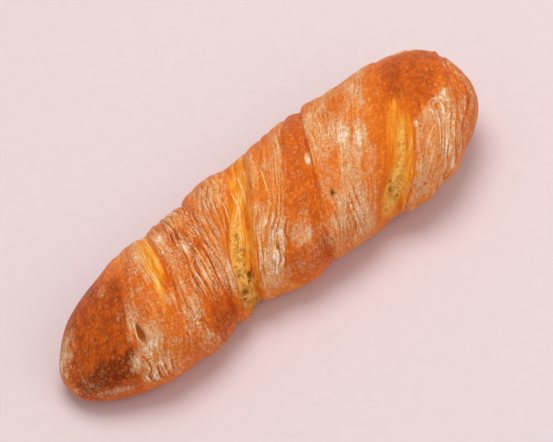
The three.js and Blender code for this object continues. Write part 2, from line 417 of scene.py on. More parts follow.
@dataclass(frozen=True)
class Relief:
    """The main relief of the loaf: swellings, tears, one fold, creases, gathers and lumps."""

    body: RoundBody
    panels: tuple[Panel, ...] = (
        Panel(-150, -78, 2.2), Panel(-71, -43, 2.2), Panel(-43, -22, 1.6),
        Panel(-8, 17, 1.8), Panel(17, 36, 1.0), Panel(37, 88, 3.0), Panel(104, 150, 2.0),
    )
    tears: tuple[Tear, ...] = (
        Tear((-77, -77), (-72, -72), (0, 40), (2.6, 2.6), -60, 52, 2.0, 0.6, bare=200, pores=0),
        Tear((-19, -28), (-10, -6), (0, 40), (6.0, 3.4), -60, 135, 4.0, 1.2, bare=14, pores=40),
        Tear((94, 89), (102, 103), (45, 75), (8.0, 4.0), 4, 112, 2.8, 0.6, bare=22, pores=12),
    )
    tear_fade: float = 24.0
    tear_wall: Span = (-0.5, 0.5)
    crumb_swell: float = 0.4
    crumb_rise: Span = (0.5, 2.5)
    lip_place: float = 1.2
    lip_width: float = 0.8
    fold_stripe: float = 36.5
    fold_height: float = 1.6
    fold_near: float = 8.0
    fold_far: float = 1.2
    creases: tuple[Crease, ...] = (
        Crease(-101, 0.7, 2.0), Crease(-60, 0.8, 1.8), Crease(-43, 1.2, 1.8), Crease(-35, 0.7, 1.6),
        Crease(-1, 0.9, 1.8), Crease(5, 0.8, 1.6), Crease(17, 0.8, 1.8), Crease(50, 0.8, 1.8),
    )
    gathers: Span = (109.0, 144.0)
    gather_pitch: float = 11.6
    gather_height: float = 0.8
    gather_fades: tuple[float, float, float] = (4.0, 2.0, 6.0)
    gather_back: Span = (-60.0, -25.0)
    cap_end: float = 130.0
    cap_end_fade: float = 4.0
    cap_fade: Span = (8.0, 34.0)
    lumps: tuple[Lump, ...] = (
        Lump(0.9, 96.0, 1.0, 0.6), Lump(0.7, 61.0, 2.0, 2.1), Lump(0.5, 37.0, 3.0, 4.4),
    )
    stops: Span = (118.0, 146.0)
    smooth_tip: float = 0.45

    def panel_swell(self, stripe: Array) -> Array:
        """Each panel swells by its height times a half circle between its two stripes."""
        height = np.zeros_like(stripe)
        for panel in self.panels:
            across = (2.0 * stripe - panel.first - panel.last) / (panel.last - panel.first)
            height += panel.swell * np.sqrt(np.maximum(0.0, 1.0 - across * across))
        return height

    def tear_reach(self, tear: Tear, angle: Array) -> Array:
        """How open a tear is at an angle, from 0 past its two ends to 1 between them."""
        fade = np.radians(self.tear_fade)
        start, end = np.radians((tear.start, tear.end))
        return smooth_step(start, start + fade, angle) * (1.0 - smooth_step(end - fade, end, angle))

    def past_edges(self, tear: Tear, stripe: Array, angle: Array) -> tuple[Array, Array]:
        """How far a point is past each edge of a tear, as shares of that edge's wall.

        Each edge runs from its high stripe to its low one while the angle goes down the side.

        Args:
            tear: the tear.
            stripe: stripe of each point.
            angle: radians round the loaf.

        Returns:
            Shares past the near and the far edge, negative on the tear's own side.
        """
        low, high = np.radians(tear.spread)
        near_edge, far_edge = tear.edges(smooth_step(low, high, angle))
        return (near_edge - stripe) / tear.walls[0], (stripe - far_edge) / tear.walls[1]

    def tear_inside(self, tear: Tear, stripe: Array, angle: Array) -> Array:
        """1 on the floor of a tear and 0 outside it, with a ramp up each wall."""
        near, far = self.past_edges(tear, stripe, angle)
        return inside_edges(near, far, self.tear_wall, self.tear_wall)

    def tear_depth(self, tear: Tear, stripe: Array, angle: Array) -> Array:
        """Depth of a tear: its floor, swollen in the middle, less the lips that stand beside it.

        Args:
            tear: the tear.
            stripe: stripe of each point.
            angle: radians round the loaf.

        Returns:
            Depth below the skin, negative on the lips.
        """
        near, far = self.past_edges(tear, stripe, angle)
        inside = self.tear_inside(tear, stripe, angle)
        low, high = self.crumb_rise
        swollen = smooth_step(low, high, -near) * smooth_step(low, high, -far)
        floor = 1.0 - self.crumb_swell * swollen
        near_lip = bell(near - self.lip_place, self.lip_width)
        far_lip = bell(far - self.lip_place, self.lip_width)
        lips = tear.lip * (near_lip + far_lip)
        return self.tear_reach(tear, angle) * (tear.depth * inside * floor - lips)

    def fold(self, stripe: Array) -> Array:
        """The near side dips to the fold, and the far side rises over it at once."""
        offset = stripe - self.fold_stripe
        side = np.where(offset < 0.0, self.fold_near, self.fold_far)
        brow_middle = 3.0 * self.fold_far
        brow = 0.5 * self.fold_height * bell(offset - brow_middle, brow_middle)
        return np.where(offset < 0.0, 0.0, brow) - self.fold_height * bell(offset, side)

    def crease_depth(self, stripe: Array) -> Array:
        """Sum of the creases' bells."""
        depth = np.zeros_like(stripe)
        for crease in self.creases:
            depth += crease.depth * bell(stripe - crease.stripe, crease.width)
        return depth

    def on_cap(self, stripe: Array, angle: Array) -> Array:
        """1 on the smooth cap over the blunt end, 0 below it and round the very end."""
        low, high = np.radians(self.cap_fade)
        above = 1.0 - smooth_step(low, high, angle)
        last, fade = self.cap_end, self.cap_end_fade
        return above * (1.0 - smooth_step(last - fade, last + fade, stripe))

    def gather_ridges(self, stripe: Array, angle: Array) -> Array:
        """Side-by-side ridges of the gathered skin below the cap: a cosine, faded at both ends."""
        first, last = self.gathers
        fade_before, fade_after, fade_last = self.gather_fades
        low, high = np.radians(self.gather_back)
        within = smooth_step(first - fade_before, first + fade_after, stripe)
        before = 1.0 - smooth_step(last - fade_last, last, stripe)
        shown = smooth_step(low, high, angle) * (1.0 - self.on_cap(stripe, angle))
        ridge = np.cos(2.0 * np.pi * (stripe - first) / self.gather_pitch)
        return self.gather_height * within * before * shown * ridge

    def lump_height(self, x: Array, angle: Array) -> Array:
        """Sum of waves: a sine along X times a cosine round the loaf, less towards the tips."""
        height = np.zeros_like(x)
        for lump in self.lumps:
            along = np.sin(2.0 * np.pi * x / lump.wave_length + lump.phase)
            height += lump.height * along * np.cos(lump.turns * angle + lump.phase)
        return height * self.body.section_share(x)

    def upper_side(self, angle: Array) -> Array:
        """1 over the top and sides of the loaf, falling to 0 on its flat underside."""
        low, high = np.radians(self.stops)
        return 1.0 - smooth_step(low, high, np.abs(angle))

    def near_tip(self, x: Array) -> Array:
        """1 over most of the loaf, falling to 0 at its two tips."""
        return smooth_step(0.0, self.smooth_tip, self.body.section_share(x))

    def height(self, stripe: Array, angle: Array, x: Array) -> Array:
        """The whole main relief, which dies out towards the tips and the underside.

        Args:
            stripe: stripe of each point.
            angle: radians round the loaf.
            x: where along X each point is.

        Returns:
            Height from the round body.
        """
        height = self.panel_swell(stripe) + self.fold(stripe) + self.gather_ridges(stripe, angle)
        height -= self.crease_depth(stripe)
        for tear in self.tears:
            height -= self.tear_depth(tear, stripe, angle)
        return self.upper_side(angle) * (height * self.near_tip(x) + self.lump_height(x, angle))


# ---- finish fields over the skin


class Finish(Enum):
    """What can vary over the skin, each from 0 to 1."""

    FLOUR = "flour"
    BAKE = "bake"
    GOLD = "gold"
    WRINKLE = "wrinkle"
    CRUMB = "crumb"


@dataclass(frozen=True)
class Band:
    """Skin between two stripes: how floury, dark, golden and wrinkled it is."""

    first: float
    last: float
    flour: float
    bake: float
    gold: float
    wrinkle: float
    crumb: float = 0.0

    def level(self, finish: Finish) -> float:
        """This band's level of one finish."""
        return getattr(self, finish.value)


@dataclass(frozen=True)
class Patch:
    """A ragged oval on the skin that adds to a finish, or takes from it."""

    stripe: float
    angle: float
    half_width: float
    half_turn: float
    change: float
    squareness: float = 2.0


@dataclass(frozen=True)
class Dressing:
    """The finish of the skin: bands along the stripes, with patches on them."""

    noise: Noise
    round_radius: float = 42.0
    band_edge: float = 3.0
    wander: float = 7.0
    unevenness: float = 1.5
    bands: tuple[Band, ...] = (
        Band(-160, -147, 0.50, 0.50, 0.0, 0.1),
        Band(-147, -102, 0.06, 0.82, 0.0, 0.0),
        Band(-102, -81, 0.44, 0.55, 0.0, 0.25),
        Band(-81, -72, 0.16, 0.58, 0.0, 0.3),
        Band(-72, -62, 0.46, 0.56, 0.0, 0.6),
        Band(-62, -42, 0.34, 0.62, 0.0, 1.0),
        Band(-42, -31, 0.50, 0.50, 0.0, 0.5),
        Band(-31, -20, 0.38, 0.45, 0.1, 0.6),
        Band(-20, -8, 0.16, 0.35, 0.2, 0.6),
        Band(-8, 17, 0.56, 0.42, 0.0, 0.4),
        Band(17, 37, 0.09, 0.65, 0.0, 0.05),
        Band(37, 82, 0.56, 0.48, 0.0, 0.25),
        Band(82, 104, 0.06, 0.52, 0.1, 0.0),
        Band(104, 133, 0.62, 0.44, 0.0, 0.6),
        Band(133, 160, 0.30, 0.56, 0.0, 0.6),
    )
    patches: tuple[tuple[Finish, tuple[Patch, ...]], ...] = (
        (Finish.WRINKLE, (
            Patch(-92, 72, 8, 28, 0.6), Patch(-70, 60, 7, 26, 0.4), Patch(12, 46, 6, 34, 0.6),
            Patch(1, -36, 8, 24, 0.4), Patch(0, 64, 6, 22, 0.5), Patch(58, 64, 12, 18, 0.35),
            Patch(-51, 75, 13, 22, -0.8), Patch(107, -6, 30, 33, -0.8, 10.0),
        )),
        (Finish.CRUMB, (
            Patch(-9, 30, 4.5, 36, -1.4),
        )),
        (Finish.GOLD, (
            Patch(-78.5, -34, 7.5, 50, 1.1, 3.0), Patch(-80.5, 16, 2.6, 24, 0.6),
            Patch(-15, -34, 8, 40, 0.6), Patch(-10, 34, 4, 40, 0.5), Patch(-88, 68, 2.5, 22, 0.5),
            Patch(-96, 118, 56, 17, 0.35), Patch(-35, 98, 18, 13, 0.5),
            Patch(-25, -20, 4, 30, 0.45), Patch(-27, 18, 4, 24, 0.5), Patch(2, -38, 9, 26, 0.5),
            Patch(46, 58, 9, 30, 0.4), Patch(95, 40, 9, 44, 0.45), Patch(100, 12, 12, 14, 0.25),
        )),
        (Finish.FLOUR, (
            Patch(-143, -36, 8, 38, 0.75), Patch(-114, -27, 3, 10, 0.5),
            Patch(-140, 25, 8, 24, 0.12), Patch(-136, 62, 14, 20, 0.2),
            Patch(-120, 90, 20, 18, 0.45), Patch(-104, -42, 10, 17, -0.4),
            Patch(-104, 60, 6, 15, 0.4), Patch(-103, 12, 5, 22, 0.15),
            Patch(-92, -6, 9, 18, -0.16), Patch(-87, -36, 4.5, 30, 0.3),
            Patch(-92, 40, 7, 14, 0.5), Patch(-92, 66, 8, 28, 0.3), Patch(-77, 27, 4, 5, 0.45),
            Patch(-77, 54, 6, 18, 0.12), Patch(-69, 44, 5, 12, 0.34),
            Patch(-67, -24, 4, 34, 0.32), Patch(-52, -42, 8, 24, 0.2),
            Patch(-57, -15, 5, 8, -0.5), Patch(-48, 7, 4, 6, -0.45), Patch(-46, -2, 3, 14, 0.3),
            Patch(-50, 36, 5, 18, 0.22), Patch(-51, 75, 13, 23, -1.1), Patch(-36, 40, 6, 18, 0.3),
            Patch(-36, 82, 7, 16, -0.45), Patch(3, -44, 9, 26, -0.5), Patch(1, 2, 4.5, 13, -0.6),
            Patch(0, 30, 5, 13, 0.3), Patch(12, 45, 4, 26, 0.08), Patch(5, 70, 10, 18, 0.15),
            Patch(24, 46, 6, 14, 0.5), Patch(30, 62, 7, 8, 0.3), Patch(26, 82, 9, 14, 0.35),
            Patch(35.5, 6, 2.4, 4.5, 1.1), Patch(27, 54, 4, 5, 0.3), Patch(62, 8, 4.5, 5, 1.2),
            Patch(73, 16, 5, 9, 0.35), Patch(77, -6, 3, 3, 0.45), Patch(54, -20, 10, 10, -0.35),
            Patch(55, 22, 5, 9, -0.3), Patch(64, 50, 14, 14, 0.12), Patch(58, 80, 6, 12, -0.3),
            Patch(107, -6, 30, 33, -1.5, 10.0), Patch(95, -62, 26, 22, 0.42),
            Patch(92, -2, 8, 10, 0.1), Patch(124.5, 33.5, 3, 3, -0.7),
        )),
        (Finish.BAKE, (
            Patch(-121, 56, 24, 22, 0.2), Patch(-98, 0, 7, 46, 0.14),
            Patch(-104, -42, 10, 17, -0.35), Patch(-57, -15, 5, 8, 0.18),
            Patch(-52, -40, 9, 24, -0.24), Patch(-48, 7, 4, 6, 0.15), Patch(-51, 75, 13, 22, 0.2),
            Patch(34, 80, 8, 16, 0.14), Patch(60, 68, 20, 22, 0.1),
            Patch(112, -6, 24, 34, 0.30, 4.0),
        )),
    )
    patch_edge: Span = (1.3, 0.7)
    patch_raggedness: float = 1.4
    side_turn: Span = (84.0, 108.0)
    side_losses: tuple[tuple[Finish, float], ...] = ((Finish.FLOUR, 0.3), (Finish.BAKE, 0.15))
    wander_steps: Span = (30.0, 11.0)
    blotch_steps: Span = (10.0, 16.0)
    ragged_steps: Span = (5.0, 8.0)

    def round_place(self, angle: Array) -> Array:
        """Distance round a loaf of the mean radius, from the crown."""
        return angle * self.round_radius

    def band_level(self, finish: Finish, stripe: Array) -> Array:
        """The bands' levels, with a ramp across each border."""
        edge = self.band_edge
        total = np.zeros_like(stripe)
        for band in self.bands:
            after_first = smooth_step(band.first - edge, band.first + edge, stripe)
            after_last = smooth_step(band.last - edge, band.last + edge, stripe)
            total += band.level(finish) * (after_first - after_last)
        return total

    def patch_share(self, patch: Patch, stripe: Array, angle: Array) -> Array:
        """1 inside a patch and 0 outside: a ramp of the ragged distance (a^n + b^n)^(1/n).

        Args:
            patch: the patch.
            stripe: stripe of each point.
            angle: radians round the loaf.

        Returns:
            The patch's share of each point.
        """
        across = np.abs(stripe - patch.stripe) / patch.half_width
        round_it = np.abs(np.degrees(angle) - patch.angle) / patch.half_turn
        power = patch.squareness
        distance = (across**power + round_it**power) ** (1.0 / power)
        ragged = self.noise.ripple(stripe, self.round_place(angle), self.ragged_steps, 3, 9.0)
        inner, outer = 1.0 - self.patch_edge[0] / power, 1.0 + self.patch_edge[1] / power
        distance = distance + self.patch_raggedness * ragged / power
        return 1.0 - smooth_step(inner, outer, distance)

    def level(self, finish: Finish, stripe: Array, angle: Array) -> Array:
        """Level of one finish: the bands and the patches, made uneven by wide noise.

        Args:
            finish: which finish.
            stripe: stripe of each point.
            angle: radians round the loaf.

        Returns:
            Levels from 0 to 1.
        """
        round_place = self.round_place(angle)
        wander = self.wander * self.noise.ripple(stripe, round_place, self.wander_steps, 3)
        total = self.band_level(finish, stripe + wander)
        if finish is Finish.FLOUR:
            blotches = self.noise.ripple(stripe, round_place, self.blotch_steps, 3, 70.0)
            total *= 1.0 + self.unevenness * blotches
        low, high = np.radians(self.side_turn)
        loss = dict(self.side_losses).get(finish, 0.0)
        total -= loss * smooth_step(low, high, np.abs(angle))
        for patch in dict(self.patches).get(finish, ()):
            total += patch.change * self.patch_share(patch, stripe, angle)
        return np.clip(total, -1.0, 1.0)


# ---- fine relief


@dataclass(frozen=True)
class Pit:
    """A round pit in the skin or the crumb."""

    stripe: float
    angle: float
    radius: float
    depth: float


@dataclass(frozen=True)
class FineRelief:
    """What the skin has beyond its main relief.

    It has small folds, lumps, rough crumb, pits, a slit, a flap and the line where the cap's skin
    ends. Steps are the sides of a noise's cells, across the stripes and along them. Some values
    go together: a crack's (width, steepness), the pores' radii (least, more), a pit's painted
    shade (least, more for each millimetre of depth), the flap's (stripe, angle, half width, half
    turn) and the second line's (strength, distance, bend).
    """

    relief: Relief
    dressing: Dressing
    noise: Noise
    wander: float = 1.1
    wide_wander: float = 2.0
    narrow_wander: float = 0.6
    wide_steps: Span = (24.0, 17.0)
    narrow_steps: Span = (7.0, 5.0)
    fold_pitch: float = 3.9
    fold_bend: float = 3.6
    fold_height: float = 0.7
    fold_crest: float = 0.8
    fold_crack: Span = (0.22, 1.4)
    fold_shown: Span = (0.36, 0.68)
    bend_steps: Span = (19.0, 30.0)
    shown_steps: Span = (8.0, 20.0)
    mottle_height: float = 0.35
    mottle_steps: Span = (11.0, 9.0)
    crumb_roughness: float = 0.9
    crumb_step: float = 3.2
    pits: tuple[Pit, ...] = (
        Pit(-17, 26, 1.0, 1.0), Pit(-14, 39, 0.8, 0.8), Pit(-12, 53, 1.0, 1.0),
        Pit(-8, 66, 2.2, 1.6), Pit(-10, 72, 1.6, 1.4), Pit(-5, 73, 1.0, 1.0),
        Pit(-18, 79, 2.3, 1.8), Pit(-22, 88, 1.9, 1.4), Pit(95, 73, 1.1, 1.0),
        Pit(101, 84, 1.0, 1.0), Pit(47, 40, 2.0, 2.8),
    )
    pore_seed: int = 40
    pore_crowding: float = 0.7
    pore_stop: float = 25.0
    pore_inset: float = 0.3
    pore_radii: Span = (0.45, 0.9)
    high_pore_share: float = 0.4
    cup: Span = (0.4, 1.15)
    cup_step: float = 1.3
    pit_shade_levels: Span = (0.35, 0.4)
    slit_start: float = 23.0
    slit_end: float = 47.0
    slit_stripe: float = -96.5
    slit_lean: float = 3.5
    slit_half_width: float = 1.9
    least_slit: float = 0.05
    slit_depth: float = 2.2
    slit_bluntness: float = 0.8
    slit_wall: Span = (0.55, 1.1)
    slit_lip: float = 0.6
    slit_lip_place: float = 1.45
    slit_lip_width: float = 0.35
    flap: tuple[float, ...] = (121.0, 25.0, 5.5, 4.0)
    flap_softness: Span = (0.8, 0.9)
    flap_lean: float = 1.5
    flap_steepness: float = 2.6
    flap_height: float = 1.5
    skin_line: float = 136.8
    skin_line_depth: float = 0.8
    skin_line_width: float = 0.8
    skin_line_turns: tuple[float, ...] = (-75.0, -50.0, 28.0, 42.0)
    crinkle: float = 1.6
    crinkle_step: float = 5.0
    second_line: tuple[float, ...] = (0.6, 4.0, 1.5)

    def wandered(self, stripe: Array, angle: Array) -> Array:
        """Stripes moved to and fro, so that no crease or edge runs quite straight."""
        place = self.dressing.round_place(angle)
        wide = self.noise.ripple(stripe, place, self.wide_steps, 2, 3.0)
        narrow = self.noise.ripple(stripe, place, self.narrow_steps, 1)
        return stripe + self.wander * (self.wide_wander * wide + self.narrow_wander * narrow)

    def folds(self, stripe: Array, angle: Array) -> tuple[Array, Array]:
        """Small folds of the skin that follow the twist, as if its edges overlapped.

        The phase is the stripe over the pitch, bent by wide noise. Its fraction rises slowly to
        the crest of a fold and then drops at once into the crack behind it. A second noise makes
        the folds come and go.

        Args:
            stripe: stripe of each point.
            angle: radians round the loaf.

        Returns:
            Height of the folds and how deep in a crack each point is, both from 0 to 1.
        """
        place = self.dressing.round_place(angle)
        bend = self.noise.ripple(stripe, place, self.bend_steps, 3, 5.0) + 0.5
        phase = stripe / self.fold_pitch + self.fold_bend * bend
        share = phase - np.floor(phase)
        rise = np.minimum(share / self.fold_crest, (1.0 - share) / (1.0 - self.fold_crest))
        shown = self.noise.ripple(stripe, place, self.shown_steps, 2, 60.0) + 0.5
        strength = smooth_step(*self.fold_shown, shown)
        width, steepness = self.fold_crack
        crack = 1.0 - smooth_step(0.0, width, np.minimum(share, steepness * (1.0 - share)))
        return smooth_step(0.0, 1.0, rise) * strength, crack * strength

    def mottle(self, x: Array, angle: Array) -> Array:
        """Lumps a centimetre or less across, from -1 to 1."""
        return 2.0 * self.noise.ripple(x, self.dressing.round_place(angle), self.mottle_steps, 3)

    def roughness(self, x: Array, angle: Array) -> Array:
        """Bumps of torn crumb, from -1 to 1."""
        steps = (self.crumb_step, self.crumb_step)
        return 2.0 * self.noise.ripple(x, self.dressing.round_place(angle), steps, 3)

    def scattered_pits(self, tear: Tear, seed: int) -> list[Pit]:
        """Pores of a tear: random pits, which grow and crowd towards its low end.

        Args:
            tear: the tear.
            seed: seed of the draws.

        Returns:
            The pits.
        """
        draws = np.random.default_rng(seed).random((tear.pores, 4))
        low = draws[:, 0] ** self.pore_crowding
        angle = tear.bare + (tear.end - self.pore_stop - tear.bare) * low
        near, far = tear.edges(smooth_step(*tear.spread, angle))
        near = near + self.pore_inset * tear.walls[0]
        stripe = near + (far - near) * draws[:, 1]
        least, more = self.pore_radii
        radius = least + more * draws[:, 2] ** 3 * (self.high_pore_share + low)
        depth = radius * (0.5 + 0.5 * draws[:, 3])
        return [Pit(*row) for row in np.stack([stripe, angle, radius, depth], axis=-1)]

    def all_pits(self) -> list[Pit]:
        """The placed pits, and those scattered in each tear."""
        pits = list(self.pits)
        for index, tear in enumerate(self.relief.tears):
            pits += self.scattered_pits(tear, self.pore_seed + index)
        return pits

    def pit_fields(self, points: Array, centres: Array, pits: list[Pit]) -> tuple[Array, Array]:
        """Depth of the pits and their painted shade, darker the deeper: each is a cup, 1 less a
        ramp of the ragged distance.

        Args:
            points: points of the skin.
            centres: the pits' centres, on the skin.
            pits: the pits.

        Returns:
            Depth in millimetres, and painted shade from 0 to 1.
        """
        depth = np.zeros(points.shape[:-1])
        dark = np.zeros(points.shape[:-1])
        along, around = points[..., 0], points[..., 1] + points[..., 2]
        ragged = 1.0 + self.noise.ripple(along, around, (self.cup_step, self.cup_step), 1)
        inner, outer = self.cup
        least, more = self.pit_shade_levels
        for centre, pit in zip(centres, pits):
            distance = np.linalg.norm(points - centre, axis=-1) * ragged
            cup = 1.0 - smooth_step(inner * pit.radius, outer * pit.radius, distance)
            depth = np.maximum(depth, pit.depth * cup)
            # Painted shade in the pit, darker the deeper it is.
            dark = np.maximum(dark, cup * min(1.0, least + more * pit.depth))
        return depth, dark

    def slit(self, stripe: Array, angle: Array) -> tuple[Array, Array]:
        """The slit beside the dome: a lens between two angles, with a lip along each side.

        Args:
            stripe: stripe of each point.
            angle: radians round the loaf.

        Returns:
            Depth, negative on the lips, and how far inside the slit each point is.
        """
        share = (np.degrees(angle) - self.slit_start) / (self.slit_end - self.slit_start)
        open_share = np.sin(np.pi * np.clip(share, 0.0, 1.0)) ** self.slit_bluntness
        middle = self.slit_stripe + self.slit_lean * (share - 0.5)
        half_width = np.maximum(self.slit_half_width * open_share, self.least_slit)
        past = np.abs(stripe - middle) / half_width
        inside = open_share * (1.0 - smooth_step(*self.slit_wall, past))
        lips = self.slit_lip * open_share * bell(past - self.slit_lip_place, self.slit_lip_width)
        return self.slit_depth * inside - lips, inside

    def flap_rise(self, stripe: Array, angle: Array) -> Array:
        """The small flap under the cap: a mound with a steep lower side."""
        middle, turn, half_width, half_turn = self.flap
        across = (stripe - middle) / half_width
        lower = (np.degrees(angle) - turn - self.flap_lean * across) / half_turn
        steep = np.where(lower > 0.0, self.flap_steepness, 1.0)
        across_width, lower_width = self.flap_softness
        return self.flap_height * bell(across, across_width) * bell(lower * steep, lower_width)

    def skin_line_drop(self, stripe: Array, angle: Array) -> Array:
        """The crinkled line where the cap's skin ends, with a second, fainter one beside it."""
        turn = np.degrees(angle)
        start, full, falling, end = self.skin_line_turns
        shown = smooth_step(start, full, turn) * (1.0 - smooth_step(falling, end, turn))
        ripple = self.noise.value(turn / self.crinkle_step, np.full_like(turn, 2.0)) - 0.5
        crinkle = self.crinkle * ripple
        share, offset, bend = self.second_line
        past = stripe - self.skin_line
        first = bell(past - crinkle, self.skin_line_width)
        second = share * bell(past - offset - bend * crinkle, self.skin_line_width)
        return self.skin_line_depth * shown * (first + second)


# ---- the skin as a grid


@dataclass
class SkinGrid:
    """The finished skin on a grid of stripes and angles, with its finish fields."""

    columns: int = 560
    rows: int = 176
    finish_seed: int = 11
    relief_seed: int = 5
    edge_crowding: float = 0.9
    edge_reach: float = 7.0
    samples: int = 4001
    underside_turn: Span = (140.0, 155.0)
    underside_sparseness: float = 0.3
    back_turn: Span = (-75.0, -50.0)
    back_sparseness: float = 0.72
    crumb_fade: float = 14.0
    crumb_edges: tuple[Span, Span] = ((-0.8, 0.0), (-0.8, 0.05))
    gold_edges: tuple[Span, Span] = ((-0.3, 0.15), (-0.4, 0.2))
    gold_rims: tuple[Span, Span] = ((0.0, 0.35), (0.3, 0.7))
    rim_gold: float = 0.75
    gold_wrinkle_loss: float = 0.6
    bare_of_flour: float = 0.8
    # Painted shadow inside the slit.
    slit_shadow: float = 0.8
    body: RoundBody = field(default_factory=RoundBody)

    def __post_init__(self) -> None:
        """Works out the grid, from the round body outwards."""
        self.twist = Twist(self.body)
        self.relief = Relief(self.body)
        self.dressing = Dressing(Noise(self.finish_seed))
        self.fine = FineRelief(self.relief, self.dressing, Noise(self.relief_seed))
        self.stripes = self.column_stripes()
        self.angles = self.row_angles()
        self.stripe, self.angle = np.meshgrid(self.stripes, self.angles, indexing="ij")
        self.fields: dict[str, Array] = {}
        self.points = self.finished_points()
        self.normals = self.grid_normals()

    def sharp_stripes(self) -> list[float]:
        """Stripes at which something changes sharply."""
        edges = [edge for tear in self.relief.tears for edge in (*tear.first, *tear.last)]
        creases = [crease.stripe for crease in self.relief.creases]
        return [*edges, *creases, self.relief.fold_stripe, self.fine.slit_stripe]

    def column_stripes(self) -> Array:
        """Stripes from tip to tip, which stand closer near the sharp ones."""
        places = self.twist.place_of(np.linspace(-1.0, 1.0, self.samples))
        bells = [bell(places - edge, self.edge_reach) for edge in self.sharp_stripes()]
        near = np.max(bells, axis=0)
        crowded = crowded_places(-1.0, 1.0, self.columns, 1.0 + self.edge_crowding * near)
        return self.twist.place_of(crowded)

    def row_angles(self) -> Array:
        """Angles once round the loaf, which stand wider on the back and widest underneath."""
        angle = np.linspace(-np.pi, np.pi, self.samples)
        underneath = smooth_step(*np.radians(self.underside_turn), np.abs(angle))
        behind = 1.0 - smooth_step(*np.radians(self.back_turn), angle)
        crowding = 1.0 - (1.0 - self.back_sparseness) * behind
        crowding = crowding + (self.underside_sparseness - crowding) * underneath
        return crowded_places(-np.pi, np.pi, self.rows, crowding)[: self.rows]

    def main_points(self, stripe: Array, angle: Array, extra: Array) -> Array:
        """Points of the skin: the round body, moved outwards by the main relief and by extra.

        Args:
            stripe: stripe of each point.
            angle: radians round the loaf.
            extra: height on top of the main relief.

        Returns:
            Points, cut off at the flat underside.
        """
        x = self.twist.place(stripe, angle)
        on_body = self.body.points(x, angle)
        wandered = self.fine.wandered(stripe, angle)
        height = self.relief.height(wandered, angle, x) + extra
        points = on_body + self.body.outward(on_body) * height[..., None]
        points[..., 2] = np.maximum(points[..., 2], 0.0)
        return points

    def tear_fields(self, stripe: Array, angle: Array) -> tuple[Array, Array]:
        """How bare the crumb is, and how golden the skin is that stretched beside it.

        Args:
            stripe: wandered stripe of each point.
            angle: radians round the loaf.

        Returns:
            Crumb and gold, from 0 to 1.
        """
        crumb = np.zeros_like(stripe)
        gold = np.zeros_like(stripe)
        for tear in self.relief.tears:
            if tear.pores == 0:
                continue
            near, far = self.relief.past_edges(tear, stripe, angle)
            reach = self.relief.tear_reach(tear, angle)
            fade = self.crumb_fade
            bare = smooth_step(tear.bare - fade, tear.bare + fade, np.degrees(angle))
            inside = inside_edges(near, far, *self.gold_edges)
            torn = inside_edges(near, far, *self.crumb_edges)
            sides = zip((near, far), self.gold_rims)
            rims = [bell(past - place, width) for past, (place, width) in sides]
            edge = self.rim_gold * np.maximum(*rims)
            crumb = np.maximum(crumb, torn * reach * bare)
            gold = np.maximum(gold, reach * np.maximum(inside, edge))
        return crumb, gold

    def finished_points(self) -> Array:
        """Fills the finish fields, and returns the points with all the relief on them."""
        stripe, angle, fine = self.stripe, self.angle, self.fine
        wandered = fine.wandered(stripe, angle)
        x = self.twist.place(stripe, angle)
        main = self.main_points(stripe, angle, np.zeros_like(x))
        levels = {finish: self.dressing.level(finish, stripe, angle) for finish in Finish}
        crumb, tear_gold = self.tear_fields(wandered, angle)
        crumb = np.clip(crumb + levels[Finish.CRUMB], 0.0, 1.0)
        pits = fine.all_pits()
        centres = self.surface_at(main, [pit.stripe for pit in pits], [pit.angle for pit in pits])
        pit_depth, hole_shade = fine.pit_fields(main, centres, pits)
        slit_depth, in_slit = fine.slit(stripe, angle)
        folds, crack = fine.folds(stripe, angle)
        unstretched = 1.0 - self.gold_wrinkle_loss * tear_gold
        wrinkle = levels[Finish.WRINKLE] * (1.0 - crumb) * unstretched
        extra = fine.fold_height * wrinkle * (folds - 0.5)
        extra += fine.mottle_height * fine.mottle(x, angle) * (1.0 - crumb)
        extra += fine.crumb_roughness * 0.5 * crumb * fine.roughness(x, angle)
        extra += fine.flap_rise(stripe, angle) - fine.skin_line_drop(stripe, angle)
        extra -= pit_depth + slit_depth
        extra *= self.relief.upper_side(angle) * self.relief.near_tip(x)
        clean = 1.0 - self.bare_of_flour * np.maximum(in_slit, tear_gold)
        self.fields = {
            "flour": np.maximum(levels[Finish.FLOUR], 0.0) * clean,
            "bake": levels[Finish.BAKE],
            "gold": np.maximum(levels[Finish.GOLD], tear_gold),
            "crumb": crumb,
            # Painted shade in pits and pores, and painted shadow in the slit.
            "hole_shade": np.maximum(hole_shade, self.slit_shadow * in_slit),
            "crest": folds * wrinkle,
            "crack": crack * wrinkle,
            "wrinkle": wrinkle,
        }
        return self.main_points(stripe, angle, extra)

    def surface_at(self, values: Array, stripe: Array, angle: Array) -> Array:
        """Reads an array of the grid between its points: the four round a place, by nearness.

        Args:
            values: an array over the grid, of points or of numbers.
            stripe: stripe of each place.
            angle: degrees round the loaf.

        Returns:
            The value at each place.
        """
        column = np.interp(stripe, self.stripes, np.arange(self.columns + 1.0))
        row = np.interp(np.radians(angle), self.angles, np.arange(float(self.rows)))
        first_column = np.clip(np.floor(column).astype(int), 0, self.columns - 1)
        first_row = np.clip(np.floor(row).astype(int), 0, self.rows - 2)
        column_shares = (1.0 - (column - first_column), column - first_column)
        row_shares = (1.0 - (row - first_row), row - first_row)
        spare = (...,) + (None,) * (values.ndim - 2)
        total = 0.0
        for up in (0, 1):
            for right in (0, 1):
                weight = (column_shares[right] * row_shares[up])[spare]
                total = total + values[first_column + right, first_row + up] * weight
        return total

    def grid_normals(self) -> Array:
        """Outward normals: the steps along the columns and the rows, crossed."""
        along = np.gradient(self.points, axis=0)
        around = (np.roll(self.points, -1, axis=1) - np.roll(self.points, 1, axis=1)) / 2.0
        return unit(np.cross(around, along))

